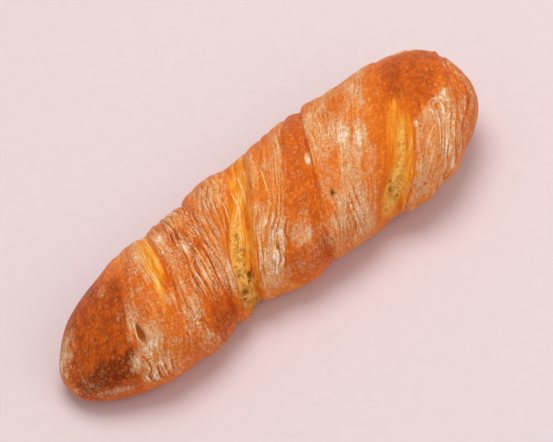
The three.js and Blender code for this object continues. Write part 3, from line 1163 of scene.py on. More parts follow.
    def centred_on(self, middle: Array) -> Array:
        """Moves the skin so that the middle of its box in X and Y is at a given point.

        Args:
            middle: the middle wanted, in X and Y.

        Returns:
            How far it was moved.
        """
        main = self.main_points(self.stripe, self.angle, np.zeros_like(self.stripe))
        box_middle = (main.min(axis=(0, 1)) + main.max(axis=(0, 1))) / 2.0
        shift = np.array([middle[0] - box_middle[0], middle[1] - box_middle[1], 0.0])
        self.points = self.points + shift
        return shift


# ---- meshes


def new_piece(name: str, points: Array, faces: list[list[int]]) -> SceneObject:
    """A smooth mesh object in the scene, at the origin.

    Args:
        name: the piece's name.
        points: its vertices, in millimetres.
        faces: its faces, as lists of vertex numbers.

    Returns:
        The object.
    """
    mesh = bpy.data.meshes.new(name)
    mesh.from_pydata((points * METRE).tolist(), [], faces)
    mesh.polygons.foreach_set("use_smooth", np.ones(len(mesh.polygons), bool))
    mesh.update()
    piece = bpy.data.objects.new(name, mesh)
    bpy.context.scene.collection.objects.link(piece)
    return piece


def set_field(piece: SceneObject, name: str, values: Array) -> None:
    """Gives each vertex of a piece a number that its material can read.

    Args:
        piece: the piece.
        name: the attribute's name.
        values: one number for each vertex.
    """
    attribute = piece.data.attributes.new(name, "FLOAT", "POINT")
    attribute.data.foreach_set("value", np.ascontiguousarray(values, np.float32))


def with_poles(values: Array) -> Array:
    """An array over the rings of a tube as one list, its first and last ring as single points."""
    inner = values[1:-1].reshape(-1, *values.shape[2:])
    return np.concatenate([values[:1, 0], inner, values[-1:, 0]])


def tube_faces(rings: int, sides: int, first: int = 0) -> list[list[int]]:
    """Faces of a tube that starts and ends in a single vertex.

    Its vertices are the start, the rings one after the other, and the end. The quads between the
    rings come first, then a fan of triangles at the start and one at the end.

    Args:
        rings: number of rings.
        sides: vertices in a ring.
        first: number of the start vertex.

    Returns:
        The faces, as lists of vertex numbers.
    """
    side = np.arange(sides)
    following = (side + 1) % sides
    near = first + 1 + sides * np.arange(rings)[:, None]
    body, far, last = near[0], near[:-1] + sides, near[-1]
    quads = np.stack(
        [near[:-1] + side, near[:-1] + following, far + following, far + side], axis=-1
    )
    start = np.stack([np.full(sides, first), body + following, body + side], axis=-1)
    end = np.stack([last + side, last + following, np.full(sides, last + sides)], axis=-1)
    return quads.reshape(-1, 4).tolist() + start.tolist() + end.tolist()


@dataclass
class LoafSkin:
    """The crust: the whole outside of the loaf as one closed mesh."""

    grid: SkinGrid
    wrap_unit: float = 100.0

    def wrap(self) -> Array:
        """The map that follows the twist: u is the stripe and v the distance round the loaf.

        Returns:
            One (u, v) for each corner of each face, in the faces' order.
        """
        stripes, low = self.grid.stripes, self.grid.angles
        high = np.append(low[1:], np.pi)
        near, far = stripes[1:-2, None], stripes[2:-1, None]
        first, second, last_but_one, last = stripes[[0, 1, -2, -1]]
        quads = ((near, low), (near, high), (far, high), (far, low))
        start = ((first, low), (second, high), (second, low))
        end = ((last_but_one, low), (last_but_one, high), (last, low))
        faces = []
        for corners in (quads, start, end):
            pairs = [np.stack(np.broadcast_arrays(*corner), axis=-1) for corner in corners]
            faces.append(np.stack(pairs, axis=-2).reshape(-1, 2))
        wrap = np.concatenate(faces)
        return wrap * np.array([1.0, self.grid.dressing.round_radius]) / self.wrap_unit

    def build(self, material: bpy.types.Material) -> SceneObject:
        """Makes the crust and dresses it.

        Args:
            material: the crust's material.

        Returns:
            The piece.
        """
        faces = tube_faces(self.grid.columns - 1, self.grid.rows)
        piece = new_piece("loaf_crust", with_poles(self.grid.points), faces)
        for name, values in self.grid.fields.items():
            set_field(piece, name, with_poles(values))
        wrap = piece.data.uv_layers.new(name="wrap")
        wrap.uv.foreach_set("vector", self.wrap().astype(np.float32).ravel())
        piece.data.materials.append(material)
        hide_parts("loaf")
        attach(piece, "root")
        return piece


@dataclass(frozen=True)
class Strand:
    """A string of dough on the skin, through places given as (stripe, angle)."""

    places: Pairs
    radius: float


@dataclass
class DoughStrings:
    """Thin strings of stretched dough and raised edges of skin, laid along the twist."""

    grid: SkinGrid
    steps: int = 22
    sides: int = 6
    sunk: float = 0.7
    placed: tuple[Strand, ...] = (
        Strand(((-22, -27), (-18.5, -14), (-14.5, 2), (-13, 16), (-12.5, 30)), 1.05),
        Strand(((-17, -48), (-15, -26), (-10, 2), (-9, 12)), 0.90),
        Strand(((-13, -44), (-11, -24), (-8, -4)), 0.75),
        Strand(((-2, -24), (2, -8), (4.5, 4), (9, 16)), 0.65),
        Strand(((-26, -16), (-22.5, -2), (-21, 8), (-18, 18)), 0.65),
        Strand(((-42, -35), (-42, -15), (-42, 14)), 0.50),
        Strand(((-50, -2), (-49, 20), (-47, 54)), 0.50),
        Strand(((-54, 12), (-52, 30), (-50, 50)), 0.40),
        Strand(((38, -10), (39, 6), (38.5, 24)), 0.40),
        Strand(((-98.6, 24), (-99.2, 34), (-96, 47)), 0.50),
        Strand(((-94.2, 25), (-92.6, 34), (-91.5, 44)), 0.45),
        Strand(((7, 18), (8.5, 27), (6, 36)), 0.60),
        Strand(((0, 32), (1, 48), (4, 76)), 0.45),
        Strand(((5.5, 40), (6.5, 56), (7, 84)), 0.45),
        Strand(((11, 26), (11, 46), (11.5, 70)), 0.40),
        Strand(((114, 28), (119, 26.5), (124, 28), (127.5, 31.5), (126.5, 35)), 0.95),
        Strand(((135.6, -42), (136.8, -26), (136, -8), (137, 8), (136, 24)), 0.60),
        Strand(((110, 86), (113, 58), (118, 44), (125, 38.5)), 0.50),
        Strand(((115, 90), (117, 64), (121, 48)), 0.40),
        Strand(((131, 38), (129, 60), (127, 86)), 0.45),
    )
    loose_count: int = 50
    loose_tries: int = 6
    loose_seed: int = 23
    loose_stripes: Span = (-140.0, 144.0)
    loose_angles: Span = (-80.0, 95.0)
    least_wrinkle: float = 0.45
    wrinkle_spread: float = 0.3
    loose_turns: Span = (6.0, 16.0)
    loose_lean: float = 2.4
    loose_bow: float = 0.4
    loose_radii: Span = (0.2, 0.22)

    def loose(self) -> list[Strand]:
        """Random short strings where the skin is wrinkled, each along its stripe.

        Returns:
            The strands.
        """
        random = np.random.default_rng(self.loose_seed)
        draws = random.random((self.loose_tries * self.loose_count, 6))
        stripe = self.loose_stripes[0] + np.ptp(self.loose_stripes) * draws[:, 0]
        angle = self.loose_angles[0] + np.ptp(self.loose_angles) * draws[:, 1]
        wrinkle = self.grid.surface_at(self.grid.fields["wrinkle"], stripe, angle)
        needed = self.least_wrinkle + self.wrinkle_spread * draws[:, 2]
        kept = np.flatnonzero(wrinkle > needed)[: self.loose_count]
        turn = self.loose_turns[0] + self.loose_turns[1] * draws[kept, 3] ** 2
        lean = self.loose_lean * (draws[kept, 4] - 0.5)
        radius = self.loose_radii[0] + self.loose_radii[1] * draws[kept, 5] ** 2
        start = np.stack([stripe[kept] - lean, angle[kept] - turn / 2.0], axis=-1)
        middle = np.stack([stripe[kept] + self.loose_bow * lean, angle[kept]], axis=-1)
        end = np.stack([stripe[kept] + lean, angle[kept] + turn / 2.0], axis=-1)
        paths = np.stack([start, middle, end], axis=1)
        return [Strand(tuple(map(tuple, path)), size) for path, size in zip(paths, radius)]

    def path(self, strand: Strand) -> tuple[Array, Array]:
        """Stripes and angles along a strand: a smooth curve through its places."""
        share = np.linspace(0.0, len(strand.places) - 1.0, self.steps)
        stripes, angles = (
            curve_through(tuple(enumerate(values)), share) for values in zip(*strand.places)
        )
        return stripes, angles

    def tube(self, strand: Strand) -> Array:
        """Rings of a strand: ovals across its path, which taper as the root of a sine.

        Args:
            strand: the strand.

        Returns:
            Points of shape (steps, sides, 3). The first and last ring have no width.
        """
        stripe, angle = self.path(strand)
        share = np.linspace(0.0, 1.0, self.steps)
        radius = strand.radius * np.sqrt(np.sin(np.pi * share).clip(0.0))
        normal = unit(self.grid.surface_at(self.grid.normals, stripe, angle))
        middle = self.grid.surface_at(self.grid.points, stripe, angle)
        middle = middle - normal * self.sunk * strand.radius
        tangent = unit(np.gradient(middle, axis=0))
        across = unit(np.cross(tangent, normal))
        turn = np.linspace(0.0, 2.0 * np.pi, self.sides, endpoint=False)
        sideways, up = np.cos(turn)[:, None], np.sin(turn)[:, None]
        ring = across[:, None] * sideways + normal[:, None] * up
        return middle[:, None] + ring * radius[:, None, None]

    def build(self, material: bpy.types.Material) -> SceneObject:
        """Makes all the strands as one piece.

        Args:
            material: the stretched dough's material.

        Returns:
            The piece.
        """
        points: list[Array] = []
        faces: list[list[int]] = []
        for strand in [*self.placed, *self.loose()]:
            faces += tube_faces(self.steps - 2, self.sides, sum(map(len, points)))
            points.append(with_poles(self.tube(strand)))
        piece = new_piece("dough_strings", np.concatenate(points), faces)
        piece.data.materials.append(material)
        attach(piece, "root")
        return piece


@dataclass
class FlourGrains:
    """Lumps of flour that baked onto the crust, scattered where it is floury."""

    grid: SkinGrid
    count: int = 4200
    tries: int = 14
    seed: int = 31
    reach: float = 0.985
    angles: Span = (-105.0, 105.0)
    chance_on_bare_skin: float = 0.006
    cluster_size: float = 7.0
    cluster_levels: Span = (0.35, 0.75)
    sizes: Span = (0.12, 0.31)
    size_on_bare_skin: float = 0.4
    stretch: Span = (0.8, 0.5)
    flatness: float = 0.55

    def pebble(self) -> tuple[Array, Array]:
        """A unit pebble: two poles and two rings of five at the heights 1/sqrt(5) and -1/sqrt(5).

        Returns:
            Its 12 points and 20 faces.
        """
        sides, height = 5, 1.0 / np.sqrt(5.0)
        turn = 2.0 * np.pi * np.arange(sides) / sides
        lower, upper = (
            np.stack([np.cos(turn + lead), np.sin(turn + lead)], axis=-1) * 2.0 * height
            for lead in (0.0, np.pi / sides)
        )
        points = np.concatenate([
            [[0.0, 0.0, -1.0]],
            np.column_stack([lower, np.full(sides, -height)]),
            np.column_stack([upper, np.full(sides, height)]),
            [[0.0, 0.0, 1.0]],
        ])
        low = np.arange(sides) + 1
        high = low + sides
        next_low, next_high = np.roll(low, -1), np.roll(high, -1)
        faces = np.concatenate([
            np.stack([np.zeros(sides, int), next_low, low], axis=-1),
            np.stack([low, next_low, high], axis=-1),
            np.stack([high, next_low, next_high], axis=-1),
            np.stack([high, next_high, np.full(sides, 2 * sides + 1)], axis=-1),
        ])
        return points, faces

    def places(self) -> tuple[Array, Array, Array]:
        """Random places, kept by the flour there and clustered by noise.

        Returns:
            Stripes, angles in degrees, and the flour at each.
        """
        draws = np.random.default_rng(self.seed).random((self.tries * self.count, 3))
        stripe = self.grid.twist.place_of(2.0 * draws[:, 0] - 1.0) * self.reach
        angle = self.angles[0] + np.ptp(self.angles) * draws[:, 1]
        flour = self.grid.surface_at(self.grid.fields["flour"], stripe, angle)
        bare = self.grid.surface_at(self.grid.fields["crumb"], stripe, angle)
        round_place = self.grid.dressing.round_place(np.radians(angle))
        size = self.cluster_size
        cluster = self.grid.fine.noise.layered(stripe / size, round_place / size, 3)
        strewn = flour**3 * smooth_step(*self.cluster_levels, cluster)
        chance = (self.chance_on_bare_skin + strewn) * (1.0 - bare)
        kept = np.flatnonzero(draws[:, 2] < chance)[: self.count]
        return stripe[kept], angle[kept], flour[kept]

    def build(self, material: bpy.types.Material) -> SceneObject:
        """Makes the grains as one piece: flattened pebbles, each turned about its own normal.

        Args:
            material: the flour's material.

        Returns:
            The piece.
        """
        stripe, angle, flour = self.places()
        random = np.random.default_rng(self.seed + 1)
        count = len(stripe)
        small, large = self.sizes
        growth = random.random(count) ** 3 * (self.size_on_bare_skin + flour)
        size = small + (large - small) * growth
        stretch = self.stretch[0] + self.stretch[1] * random.random((count, 2))
        pebble, pebble_faces = self.pebble()
        normal = unit(self.grid.surface_at(self.grid.normals, stripe, angle))
        turned = unit(random.normal(size=(count, 3)))
        first = unit(np.cross(normal, turned))
        second = np.cross(normal, first)
        middle = self.grid.surface_at(self.grid.points, stripe, angle)
        shape = pebble[None] * size[:, None, None]
        across = first[:, None] * (shape[..., :1] * stretch[:, :1, None])
        along = second[:, None] * (shape[..., 1:2] * stretch[:, 1:, None])
        up = normal[:, None] * shape[..., 2:] * self.flatness
        points = middle[:, None] + across + along + up
        faces = pebble_faces[None] + (np.arange(count) * len(pebble))[:, None, None]
        piece = new_piece("flour_grains", points.reshape(-1, 3), faces.reshape(-1, 3).tolist())
        piece.data.materials.append(material)
        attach(piece, "root")
        return piece


# ---- material nodes


def linear(colour: Colour) -> tuple[float, float, float, float]:
    """A screen colour as the linear colour that a socket takes.

    Args:
        colour: red, green and blue, 0 to 255.

    Returns:
        Linear red, green, blue and alpha.
    """
    knee, slope, offset, power = SCREEN_CURVE
    share = np.array(colour, float) / 255.0
    curved = ((share + offset) / (1.0 + offset)) ** power
    red, green, blue = np.where(share <= knee, share / slope, curved)
    return float(red), float(green), float(blue), 1.0


class NodeKit:
    """Adds nodes to one material or group and joins them."""

    ROUGHNESS = 0.6
    MIX_COLOURS = (6, 7)
    MIXED_COLOUR = 2

    def __init__(self, tree: Tree) -> None:
        """Starts with an empty tree."""
        self.tree = tree
        self.tree.nodes.clear()

    def add(self, kind: str, inputs: Inputs | None = None, **settings: object) -> Node:
        """Adds a node.

        Args:
            kind: its type.
            inputs: for each input, the socket it is joined to or the value it is set to.
            **settings: its properties, which are set before the inputs.

        Returns:
            The node.
        """
        node = self.tree.nodes.new(kind)
        for name, value in settings.items():
            setattr(node, name, value)
        for key, value in (inputs or {}).items():
            if isinstance(value, Port):
                self.tree.links.new(value, node.inputs[key])
            else:
                node.inputs[key].default_value = value
        return node

    def math(self, operation: str, first: object, second: object, clamp: bool = False) -> Port:
        """One sum on two numbers or sockets."""
        inputs = {0: first, 1: second}
        return self.add("ShaderNodeMath", inputs, operation=operation, use_clamp=clamp).outputs[0]

    def plus(self, first: object, second: object) -> Port:
        """The sum of two numbers."""
        return self.math("ADD", first, second)

    def minus(self, first: object, second: object) -> Port:
        """The first number less the second."""
        return self.math("SUBTRACT", first, second)

    def times(self, first: object, second: object) -> Port:
        """The product of two numbers."""
        return self.math("MULTIPLY", first, second)

    def larger(self, first: object, second: object) -> Port:
        """The larger of two numbers."""
        return self.math("MAXIMUM", first, second)

    def centred(self, mask: object, height: object) -> Port:
        """A mask from 0 to 1 as a wave about 0, of a given height from trough to crest."""
        return self.times(self.minus(mask, 0.5), height)

    def blend(self, first: object, second: object, share: float) -> Port:
        """A number between two, by share."""
        return self.plus(self.times(first, 1.0 - share), self.times(second, share))

    def vector(self, operation: str, first: object, second: object) -> Port:
        """One sum on two vectors."""
        inputs = {0: first, 1: second}
        return self.add("ShaderNodeVectorMath", inputs, operation=operation).outputs[0]

    def sideways(self, across: object, along: object) -> Port:
        """Two numbers as a vector on the wrap map."""
        return self.add("ShaderNodeCombineXYZ", {"X": across, "Y": along}).outputs[0]

    def total(self, parts: tuple[tuple[Port, float], ...]) -> Port:
        """Sum of sockets, each times its weight."""
        total = self.times(*parts[0])
        for socket, weight in parts[1:]:
            total = self.plus(total, self.times(socket, weight))
        return total

    def ramp(self, value: object, low: object, high: object) -> Port:
        """A smooth ramp from 0 at low to 1 at high."""
        inputs = {"Value": value, "From Min": low, "From Max": high}
        node = self.add("ShaderNodeMapRange", inputs, interpolation_type="SMOOTHSTEP")
        return node.outputs["Result"]

    def mix(self, share: object, first: object, second: object) -> Port:
        """A colour between two, by share."""
        inputs = {0: share, self.MIX_COLOURS[0]: first, self.MIX_COLOURS[1]: second}
        return self.add("ShaderNodeMix", inputs, data_type="RGBA").outputs[self.MIXED_COLOUR]

    def noise(self, vector: object, scale: object, detail: float = 2.0, flat: bool = False) -> Port:
        """Noise from 0 to 1 on a vector."""
        dimensions = "2D" if flat else "3D"
        inputs = {"Vector": vector, "Scale": scale, "Detail": detail, "Roughness": self.ROUGHNESS}
        return self.add("ShaderNodeTexNoise", inputs, noise_dimensions=dimensions).outputs["Fac"]

    def attribute(self, name: str) -> Port:
        """A field of the piece's vertices."""
        return self.add("ShaderNodeAttribute", attribute_name=name).outputs["Fac"]

    def place(self) -> Port:
        """Object coordinates, in metres."""
        return self.add("ShaderNodeTexCoord").outputs["Object"]

    def group(self, tree: Tree, inputs: Inputs) -> Node:
        """Places a node group."""
        return self.add("ShaderNodeGroup", inputs, node_tree=tree)

    def mask(self, tree: Tree, vector: Port, *settings: float) -> Port:
        """The mask that a group makes of a vector, with the group's other inputs in their order."""
        return self.group(tree, {0: vector, **dict(enumerate(settings, 1))}).outputs[0]

    def bump(self, height: Port) -> Port:
        """Normals bent by a height in millimetres."""
        inputs = {"Strength": 1.0, "Distance": METRE, "Height": height}
        return self.add("ShaderNodeBump", inputs).outputs[0]


class MaterialKit(NodeKit):
    """The nodes of one material."""

    def __init__(self, name: str) -> None:
        """Makes the material."""
        self.material = bpy.data.materials.new(name)
        self.material.use_nodes = True
        super().__init__(self.material.node_tree)

    def finish(self, inputs: Inputs) -> bpy.types.Material:
        """Adds the shader with its inputs, and returns the material."""
        shader = self.add("ShaderNodeBsdfPrincipled", inputs)
        self.add("ShaderNodeOutputMaterial", {"Surface": shader.outputs[0]})
        return self.material


class Socket(Enum):
    """Kinds of group sockets."""

    NUMBER = "NodeSocketFloat"
    COLOUR = "NodeSocketColor"
    VECTOR = "NodeSocketVector"


def numbers(*labels: str) -> dict[str, Socket]:
    """Number sockets with the given labels."""
    return dict.fromkeys(labels, Socket.NUMBER)


class GroupKit(NodeKit):
    """A node group with named inputs and outputs."""

    def __init__(self, name: str, inputs: dict[str, Socket], outputs: dict[str, Socket]) -> None:
        """Makes the group and its sockets.

        Args:
            name: the group's name.
            inputs: its inputs.
            outputs: its outputs.
        """
        super().__init__(bpy.data.node_groups.new(name, "ShaderNodeTree"))
        for label, kind in inputs.items():
            self.tree.interface.new_socket(label, in_out="INPUT", socket_type=kind.value)
        for label, kind in outputs.items():
            self.tree.interface.new_socket(label, in_out="OUTPUT", socket_type=kind.value)
        self.own = self.add("NodeGroupInput").outputs

    def __getitem__(self, label: str) -> Port:
        """One of the group's inputs."""
        return self.own[label]

    def finish(self, outputs: dict[str, Port]) -> Tree:
        """Joins the outputs and returns the group's tree."""
        self.add("NodeGroupOutput", dict(outputs))
        return self.tree


@dataclass(frozen=True)
class Patterns:
    """The node groups that the finishes share. Counts are per tenth of a metre of the wrap map."""

    streak_bend_count: float = 2.6
    streak_bend: float = 0.09
    streak_detail: float = 3.0
    fold_bend_counts: tuple[float, float, float] = (7.0, 4.5, 0.0)
    fold_bend_detail: float = 3.0
    fold_bend: float = 9.0
    fold_rise: float = 1.25
    fold_fall: float = 5.0
    fold_patch_counts: tuple[float, float, float] = (24.0, 6.0, 0.0)
    fold_patch_levels: Span = (0.42, 0.62)
    crest_levels: Span = (0.55, 0.95)
    crack_levels: Span = (0.04, 0.32)
    hollows: tuple[tuple[float, float, float], ...] = ((4.6, 0.5, 0.68), (1.9, 0.54, 0.7))
    wall_scale: float = 330.0
    wall_width: float = 0.07

    def streaks(self) -> Tree:
        """Streaks that follow the twist: noise on the wrap map, stretched along the stripes.

        The map is first bent across the stripes by wide noise, so that the streaks slant to and
        fro. Inputs are the wrap map, the counts across and along, and the noise levels where the
        mask starts and is full. The output is the mask.
        """
        inputs = {"Wrap": Socket.VECTOR, **numbers("Across", "Along", "Low", "High")}
        kit = GroupKit("streaks", inputs, numbers("Mask"))
        wide = kit.noise(kit["Wrap"], self.streak_bend_count, flat=True)
        bend = kit.sideways(kit.centred(wide, self.streak_bend), 0.0)
        bent = kit.vector("ADD", kit["Wrap"], bend)
        stretch = kit.sideways(kit["Across"], kit["Along"])
        noise = kit.noise(kit.vector("MULTIPLY", bent, stretch), 1.0, self.streak_detail, flat=True)
        return kit.finish({"Mask": kit.ramp(noise, kit["Low"], kit["High"])})

    def folds(self) -> Tree:
        """Fine folds along the twist: the stripe times a count, bent by noise, cut to its fraction.

        The fraction rises slowly to a crest and drops into a crack. A second noise makes the
        folds come and go. Inputs are the wrap map and the count of folds.
        """
        inputs = {"Wrap": Socket.VECTOR, **numbers("Count")}
        kit = GroupKit("skin_folds", inputs, numbers("Height", "Crest", "Crack"))
        wrap = kit["Wrap"]
        across = kit.add("ShaderNodeSeparateXYZ", {0: wrap}).outputs["X"]
        stretched = kit.vector("MULTIPLY", wrap, self.fold_bend_counts)
        wide = kit.noise(stretched, 1.0, self.fold_bend_detail, flat=True)
        bend = kit.times(wide, self.fold_bend)
        share = kit.math("FRACT", kit.plus(kit.times(across, kit["Count"]), bend), 0.0)
        fall = kit.times(kit.minus(1.0, share), self.fold_fall)
        height = kit.math("MINIMUM", kit.times(share, self.fold_rise), fall)
        patches = kit.noise(kit.vector("MULTIPLY", wrap, self.fold_patch_counts), 1.0, flat=True)
        shown = kit.ramp(patches, *self.fold_patch_levels)
        crest = kit.times(kit.ramp(height, *self.crest_levels), shown)
        crack = kit.times(kit.minus(1.0, kit.ramp(height, *self.crack_levels)), shown)
        return kit.finish({"Height": kit.times(height, shown), "Crest": crest, "Crack": crack})

    def bubbles(self) -> Tree:
        """Bubbles of torn crumb: soft hollows of two sizes, with thin pale walls between. The
        hollows drive painted shade in the crumb colour.
        """
        kit = GroupKit("crumb_bubbles", {"Place": Socket.VECTOR}, numbers("Dark", "Wall"))
        place = kit["Place"]
        hollows = [
            kit.ramp(kit.noise(place, 1.0 / (size * METRE), 1.0), low, high)
            for size, low, high in self.hollows
        ]
        middle = kit.minus(kit.noise(place, self.wall_scale, 1.0), 0.5)
        wall = kit.minus(1.0, kit.ramp(kit.math("ABSOLUTE", middle, 0.0), 0.0, self.wall_width))
        return kit.finish({"Dark": kit.larger(*hollows), "Wall": wall})

    def speckle(self) -> Tree:
        """Specks in space: noise with a grain given in millimetres, cut off between two levels."""
        inputs = {"Place": Socket.VECTOR, **numbers("Grain", "Low", "High")}
        kit = GroupKit("speckle", inputs, numbers("Mask"))
        noise = kit.noise(kit["Place"], kit.math("DIVIDE", 1.0 / METRE, kit["Grain"]))
        return kit.finish({"Mask": kit.ramp(noise, kit["Low"], kit["High"])})

    def grain(self) -> Tree:
        """Grain of a surface: a colour made lighter and darker by two masks, each by its share."""
        shares = numbers("Specks", "Streaks", "Speck Share", "Streak Share")
        kit = GroupKit("grain", {"Color": Socket.COLOUR, **shares}, {"Color": Socket.COLOUR})
        specks = kit.centred(kit["Specks"], kit["Speck Share"])
        streaks = kit.centred(kit["Streaks"], kit["Streak Share"])
        value = kit.plus(streaks, kit.plus(specks, 1.0))
        node = kit.add("ShaderNodeHueSaturation", {"Value": value, "Color": kit["Color"]})
        return kit.finish({"Color": node.outputs[0]})

    def build(self) -> Groups:
        """Every group, by name."""
        return {
            "streaks": self.streaks(), "folds": self.folds(), "speckle": self.speckle(),
            "bubbles": self.bubbles(), "grain": self.grain(),
        }


@dataclass(frozen=True)
class CrustFinish:
    """Colours and gloss of the baked skin and of what shows through and lies on it.

    The cracks of the fine folds, the pits, pores and slit, and the crumb's hollows are darkened as
    painted shade, and the crests of the folds get flour that is partly a painted highlight.

    Streaks are given as (count across, count along, low, high), and specks of every kind as
    (grain, low, high). Levels are where a mask starts and is full.
    """

    bake_stops: tuple[tuple[float, Colour], ...] = (
        (0.0, (244, 168, 76)),
        (0.3, (234, 132, 44)),
        (0.55, (224, 106, 26)),
        (0.8, (190, 80, 20)),
        (1.0, (128, 46, 12)),
    )
    deep_gold: Colour = (232, 112, 18)
    gold: Colour = (244, 156, 44)
    pale_gold: Colour = (250, 206, 120)
    spark: Colour = (250, 180, 98)
    flour: Colour = (234, 184, 132)
    thick_flour: Colour = (250, 222, 196)
    # painted shade in the cracks of the fine folds
    crack: Colour = (142, 52, 12)
    crumb: Colour = (238, 158, 52)
    pale_crumb: Colour = (247, 199, 108)
    # painted shade in the crumb's hollows
    bubble_shade: Colour = (190, 116, 34)
    # painted shade at the bottom of pits, pores and the slit
    hole_shade: Colour = (112, 58, 18)
    bake_spread: float = 0.6
    most_darkening: float = 0.07
    fibre_spread: float = 0.9
    warm_levels: Span = (0.25, 1.05)
    pale_levels: Span = (0.95, 1.4)
    pale_share: float = 0.85
    golden_levels: Span = (0.0, 0.7)
    # Crest flour is partly a painted highlight on the fold crests.
    flour_parts: tuple[tuple[str, float, float], ...] = (
        ("Streaks", 0.7, 0.5), ("Specks", 0.6, 0.5), ("Crest", 0.6, 0.1), ("Crack", -1.0, 0.0),
    )
    veil_levels: Span = (0.1, 0.95)
    thick_levels: Span = (0.85, 1.25)
    veil_cover: float = 0.8
    thick_cover: float = 0.18
    crack_shade_share: float = 0.85
    bubble_shade_share: float = 0.55
    hole_shade_share: float = 0.75
    streaks: tuple[tuple[float, ...], ...] = ((30.0, 4.0, 0.3, 0.7), (80.0, 8.0, 0.3, 0.7))
    fold_count: float = 46.0
    specks: tuple[float, ...] = (1.5, 0.34, 0.66)
    dots: tuple[float, ...] = (1.0, 0.34, 0.66)
    mottle: tuple[float, ...] = (2.6, 0.25, 0.75)
    sparks: tuple[float, ...] = (2.1, 0.54, 0.68)
    clouds: tuple[float, ...] = (6.0, 0.34, 0.66)
    cloud_share_of_bake: float = 0.35
    cloud_share_of_flour: float = 0.55
    spark_levels: Span = (0.8, 0.55)
    spark_shares: Span = (0.2, 0.25)
    streak_shares: Span = (0.45, 0.6)
    crest_share: float = 0.8
    fine_crack_share: float = 0.7
    speck_grain: float = 0.3
    soft_grain_loss: float = 0.2
    streak_grain: float = 0.2
    bump_heights: tuple[float, ...] = (0.10, 0.16, 0.10, 0.30, -0.35)
    skin_roughness: float = 0.42
    flour_roughness: float = 0.85
    gloss: float = 0.16
    gloss_tint: Colour = (255, 190, 130)

    def crust_colours(self) -> Tree:
        """Group: the colour of bare skin.

        How dark it baked picks from a ramp, with some mottle and a few pale specks. Golden skin
        goes from a deep orange edge to a pale middle, in fibres.
        """
        inputs = numbers("Bake", "Gold", "Mottle", "Fibres", "Sparks")
        kit = GroupKit("crust_colour", inputs, {"Color": Socket.COLOUR})
        mottle = kit.centred(kit["Mottle"], self.bake_spread)
        change = kit.math("MINIMUM", mottle, self.most_darkening)
        ramp = kit.add("ShaderNodeValToRGB", {"Fac": kit.plus(kit["Bake"], change)})
        stops = ramp.color_ramp.elements
        for index, (place, colour) in enumerate(self.bake_stops):
            stop = stops[index] if index < 2 else stops.new(place)
            stop.position = place
            stop.color = linear(colour)
        fibres = kit.centred(kit["Fibres"], self.fibre_spread)
        level = kit.plus(kit["Gold"], fibres)
        warm_share = kit.ramp(level, *self.warm_levels)
        warm = kit.mix(warm_share, linear(self.deep_gold), linear(self.gold))
        pale = kit.times(kit.ramp(level, *self.pale_levels), self.pale_share)
        golden = kit.mix(pale, warm, linear(self.pale_gold))
        specked = kit.mix(kit["Sparks"], ramp.outputs["Color"], linear(self.spark))
        share = kit.ramp(kit["Gold"], *self.golden_levels)
        return kit.finish({"Color": kit.mix(share, specked, golden)})

    def flour_and_painted_fold_shading(self) -> Tree:
        """Group: flour over a colour. The level, plus streaks, specks and crests, decides where.

        Each part is a mask less its centre, times its weight. The veil stays thin enough for the
        skin to show through, and cracks stay free of it. The crests' share of flour is partly a
        painted highlight, and the cracks are darkened towards the crack colour as painted shade.
        """
        shares = numbers("Flour", "Streaks", "Specks", "Crest", "Crack")
        outputs = {"Color": Socket.COLOUR, **numbers("Mask")}
        kit = GroupKit("flour_and_painted_fold_shading", {"Color": Socket.COLOUR, **shares}, outputs)
        total = kit["Flour"]
        for label, weight, centre in self.flour_parts:
            total = kit.plus(total, kit.times(kit.minus(kit[label], centre), weight))
        mask = kit.ramp(total, *self.veil_levels)
        thick = kit.ramp(total, *self.thick_levels)
        flour = kit.mix(thick, linear(self.flour), linear(self.thick_flour))
        cover = kit.plus(kit.times(mask, self.veil_cover), kit.times(thick, self.thick_cover))
        # Painted shade in the cracks.
        dark = kit.times(kit["Crack"], self.crack_shade_share)
        crack_shaded = kit.mix(dark, kit["Color"], linear(self.crack))
        return kit.finish({"Color": kit.mix(cover, crack_shaded, flour), "Mask": mask})

    def crumb_and_shade_colours(self) -> Tree:
        """Group: torn crumb over a colour, with painted shade in its hollows and in pits, pores and
        the slit.
        """
        shares = numbers("Crumb", "Hole Shade", "Mottle", "Bubble Shade", "Wall")
        inputs = {"Color": Socket.COLOUR, **shares}
        kit = GroupKit("crumb_colour_and_shade", inputs, {"Color": Socket.COLOUR})
        paleness = kit.larger(kit["Mottle"], kit["Wall"])
        crumb = kit.mix(paleness, linear(self.crumb), linear(self.pale_crumb))
        # Painted shade in the bubbles' hollows.
        hollow_shade = kit.times(kit["Bubble Shade"], self.bubble_shade_share)
        bubbly = kit.mix(hollow_shade, crumb, linear(self.bubble_shade))
        torn = kit.mix(kit["Crumb"], kit["Color"], bubbly)
        # Painted shade in pits, pores and the slit.
        dark = kit.times(kit["Hole Shade"], self.hole_shade_share)
        return kit.finish({"Color": kit.mix(dark, torn, linear(self.hole_shade))})

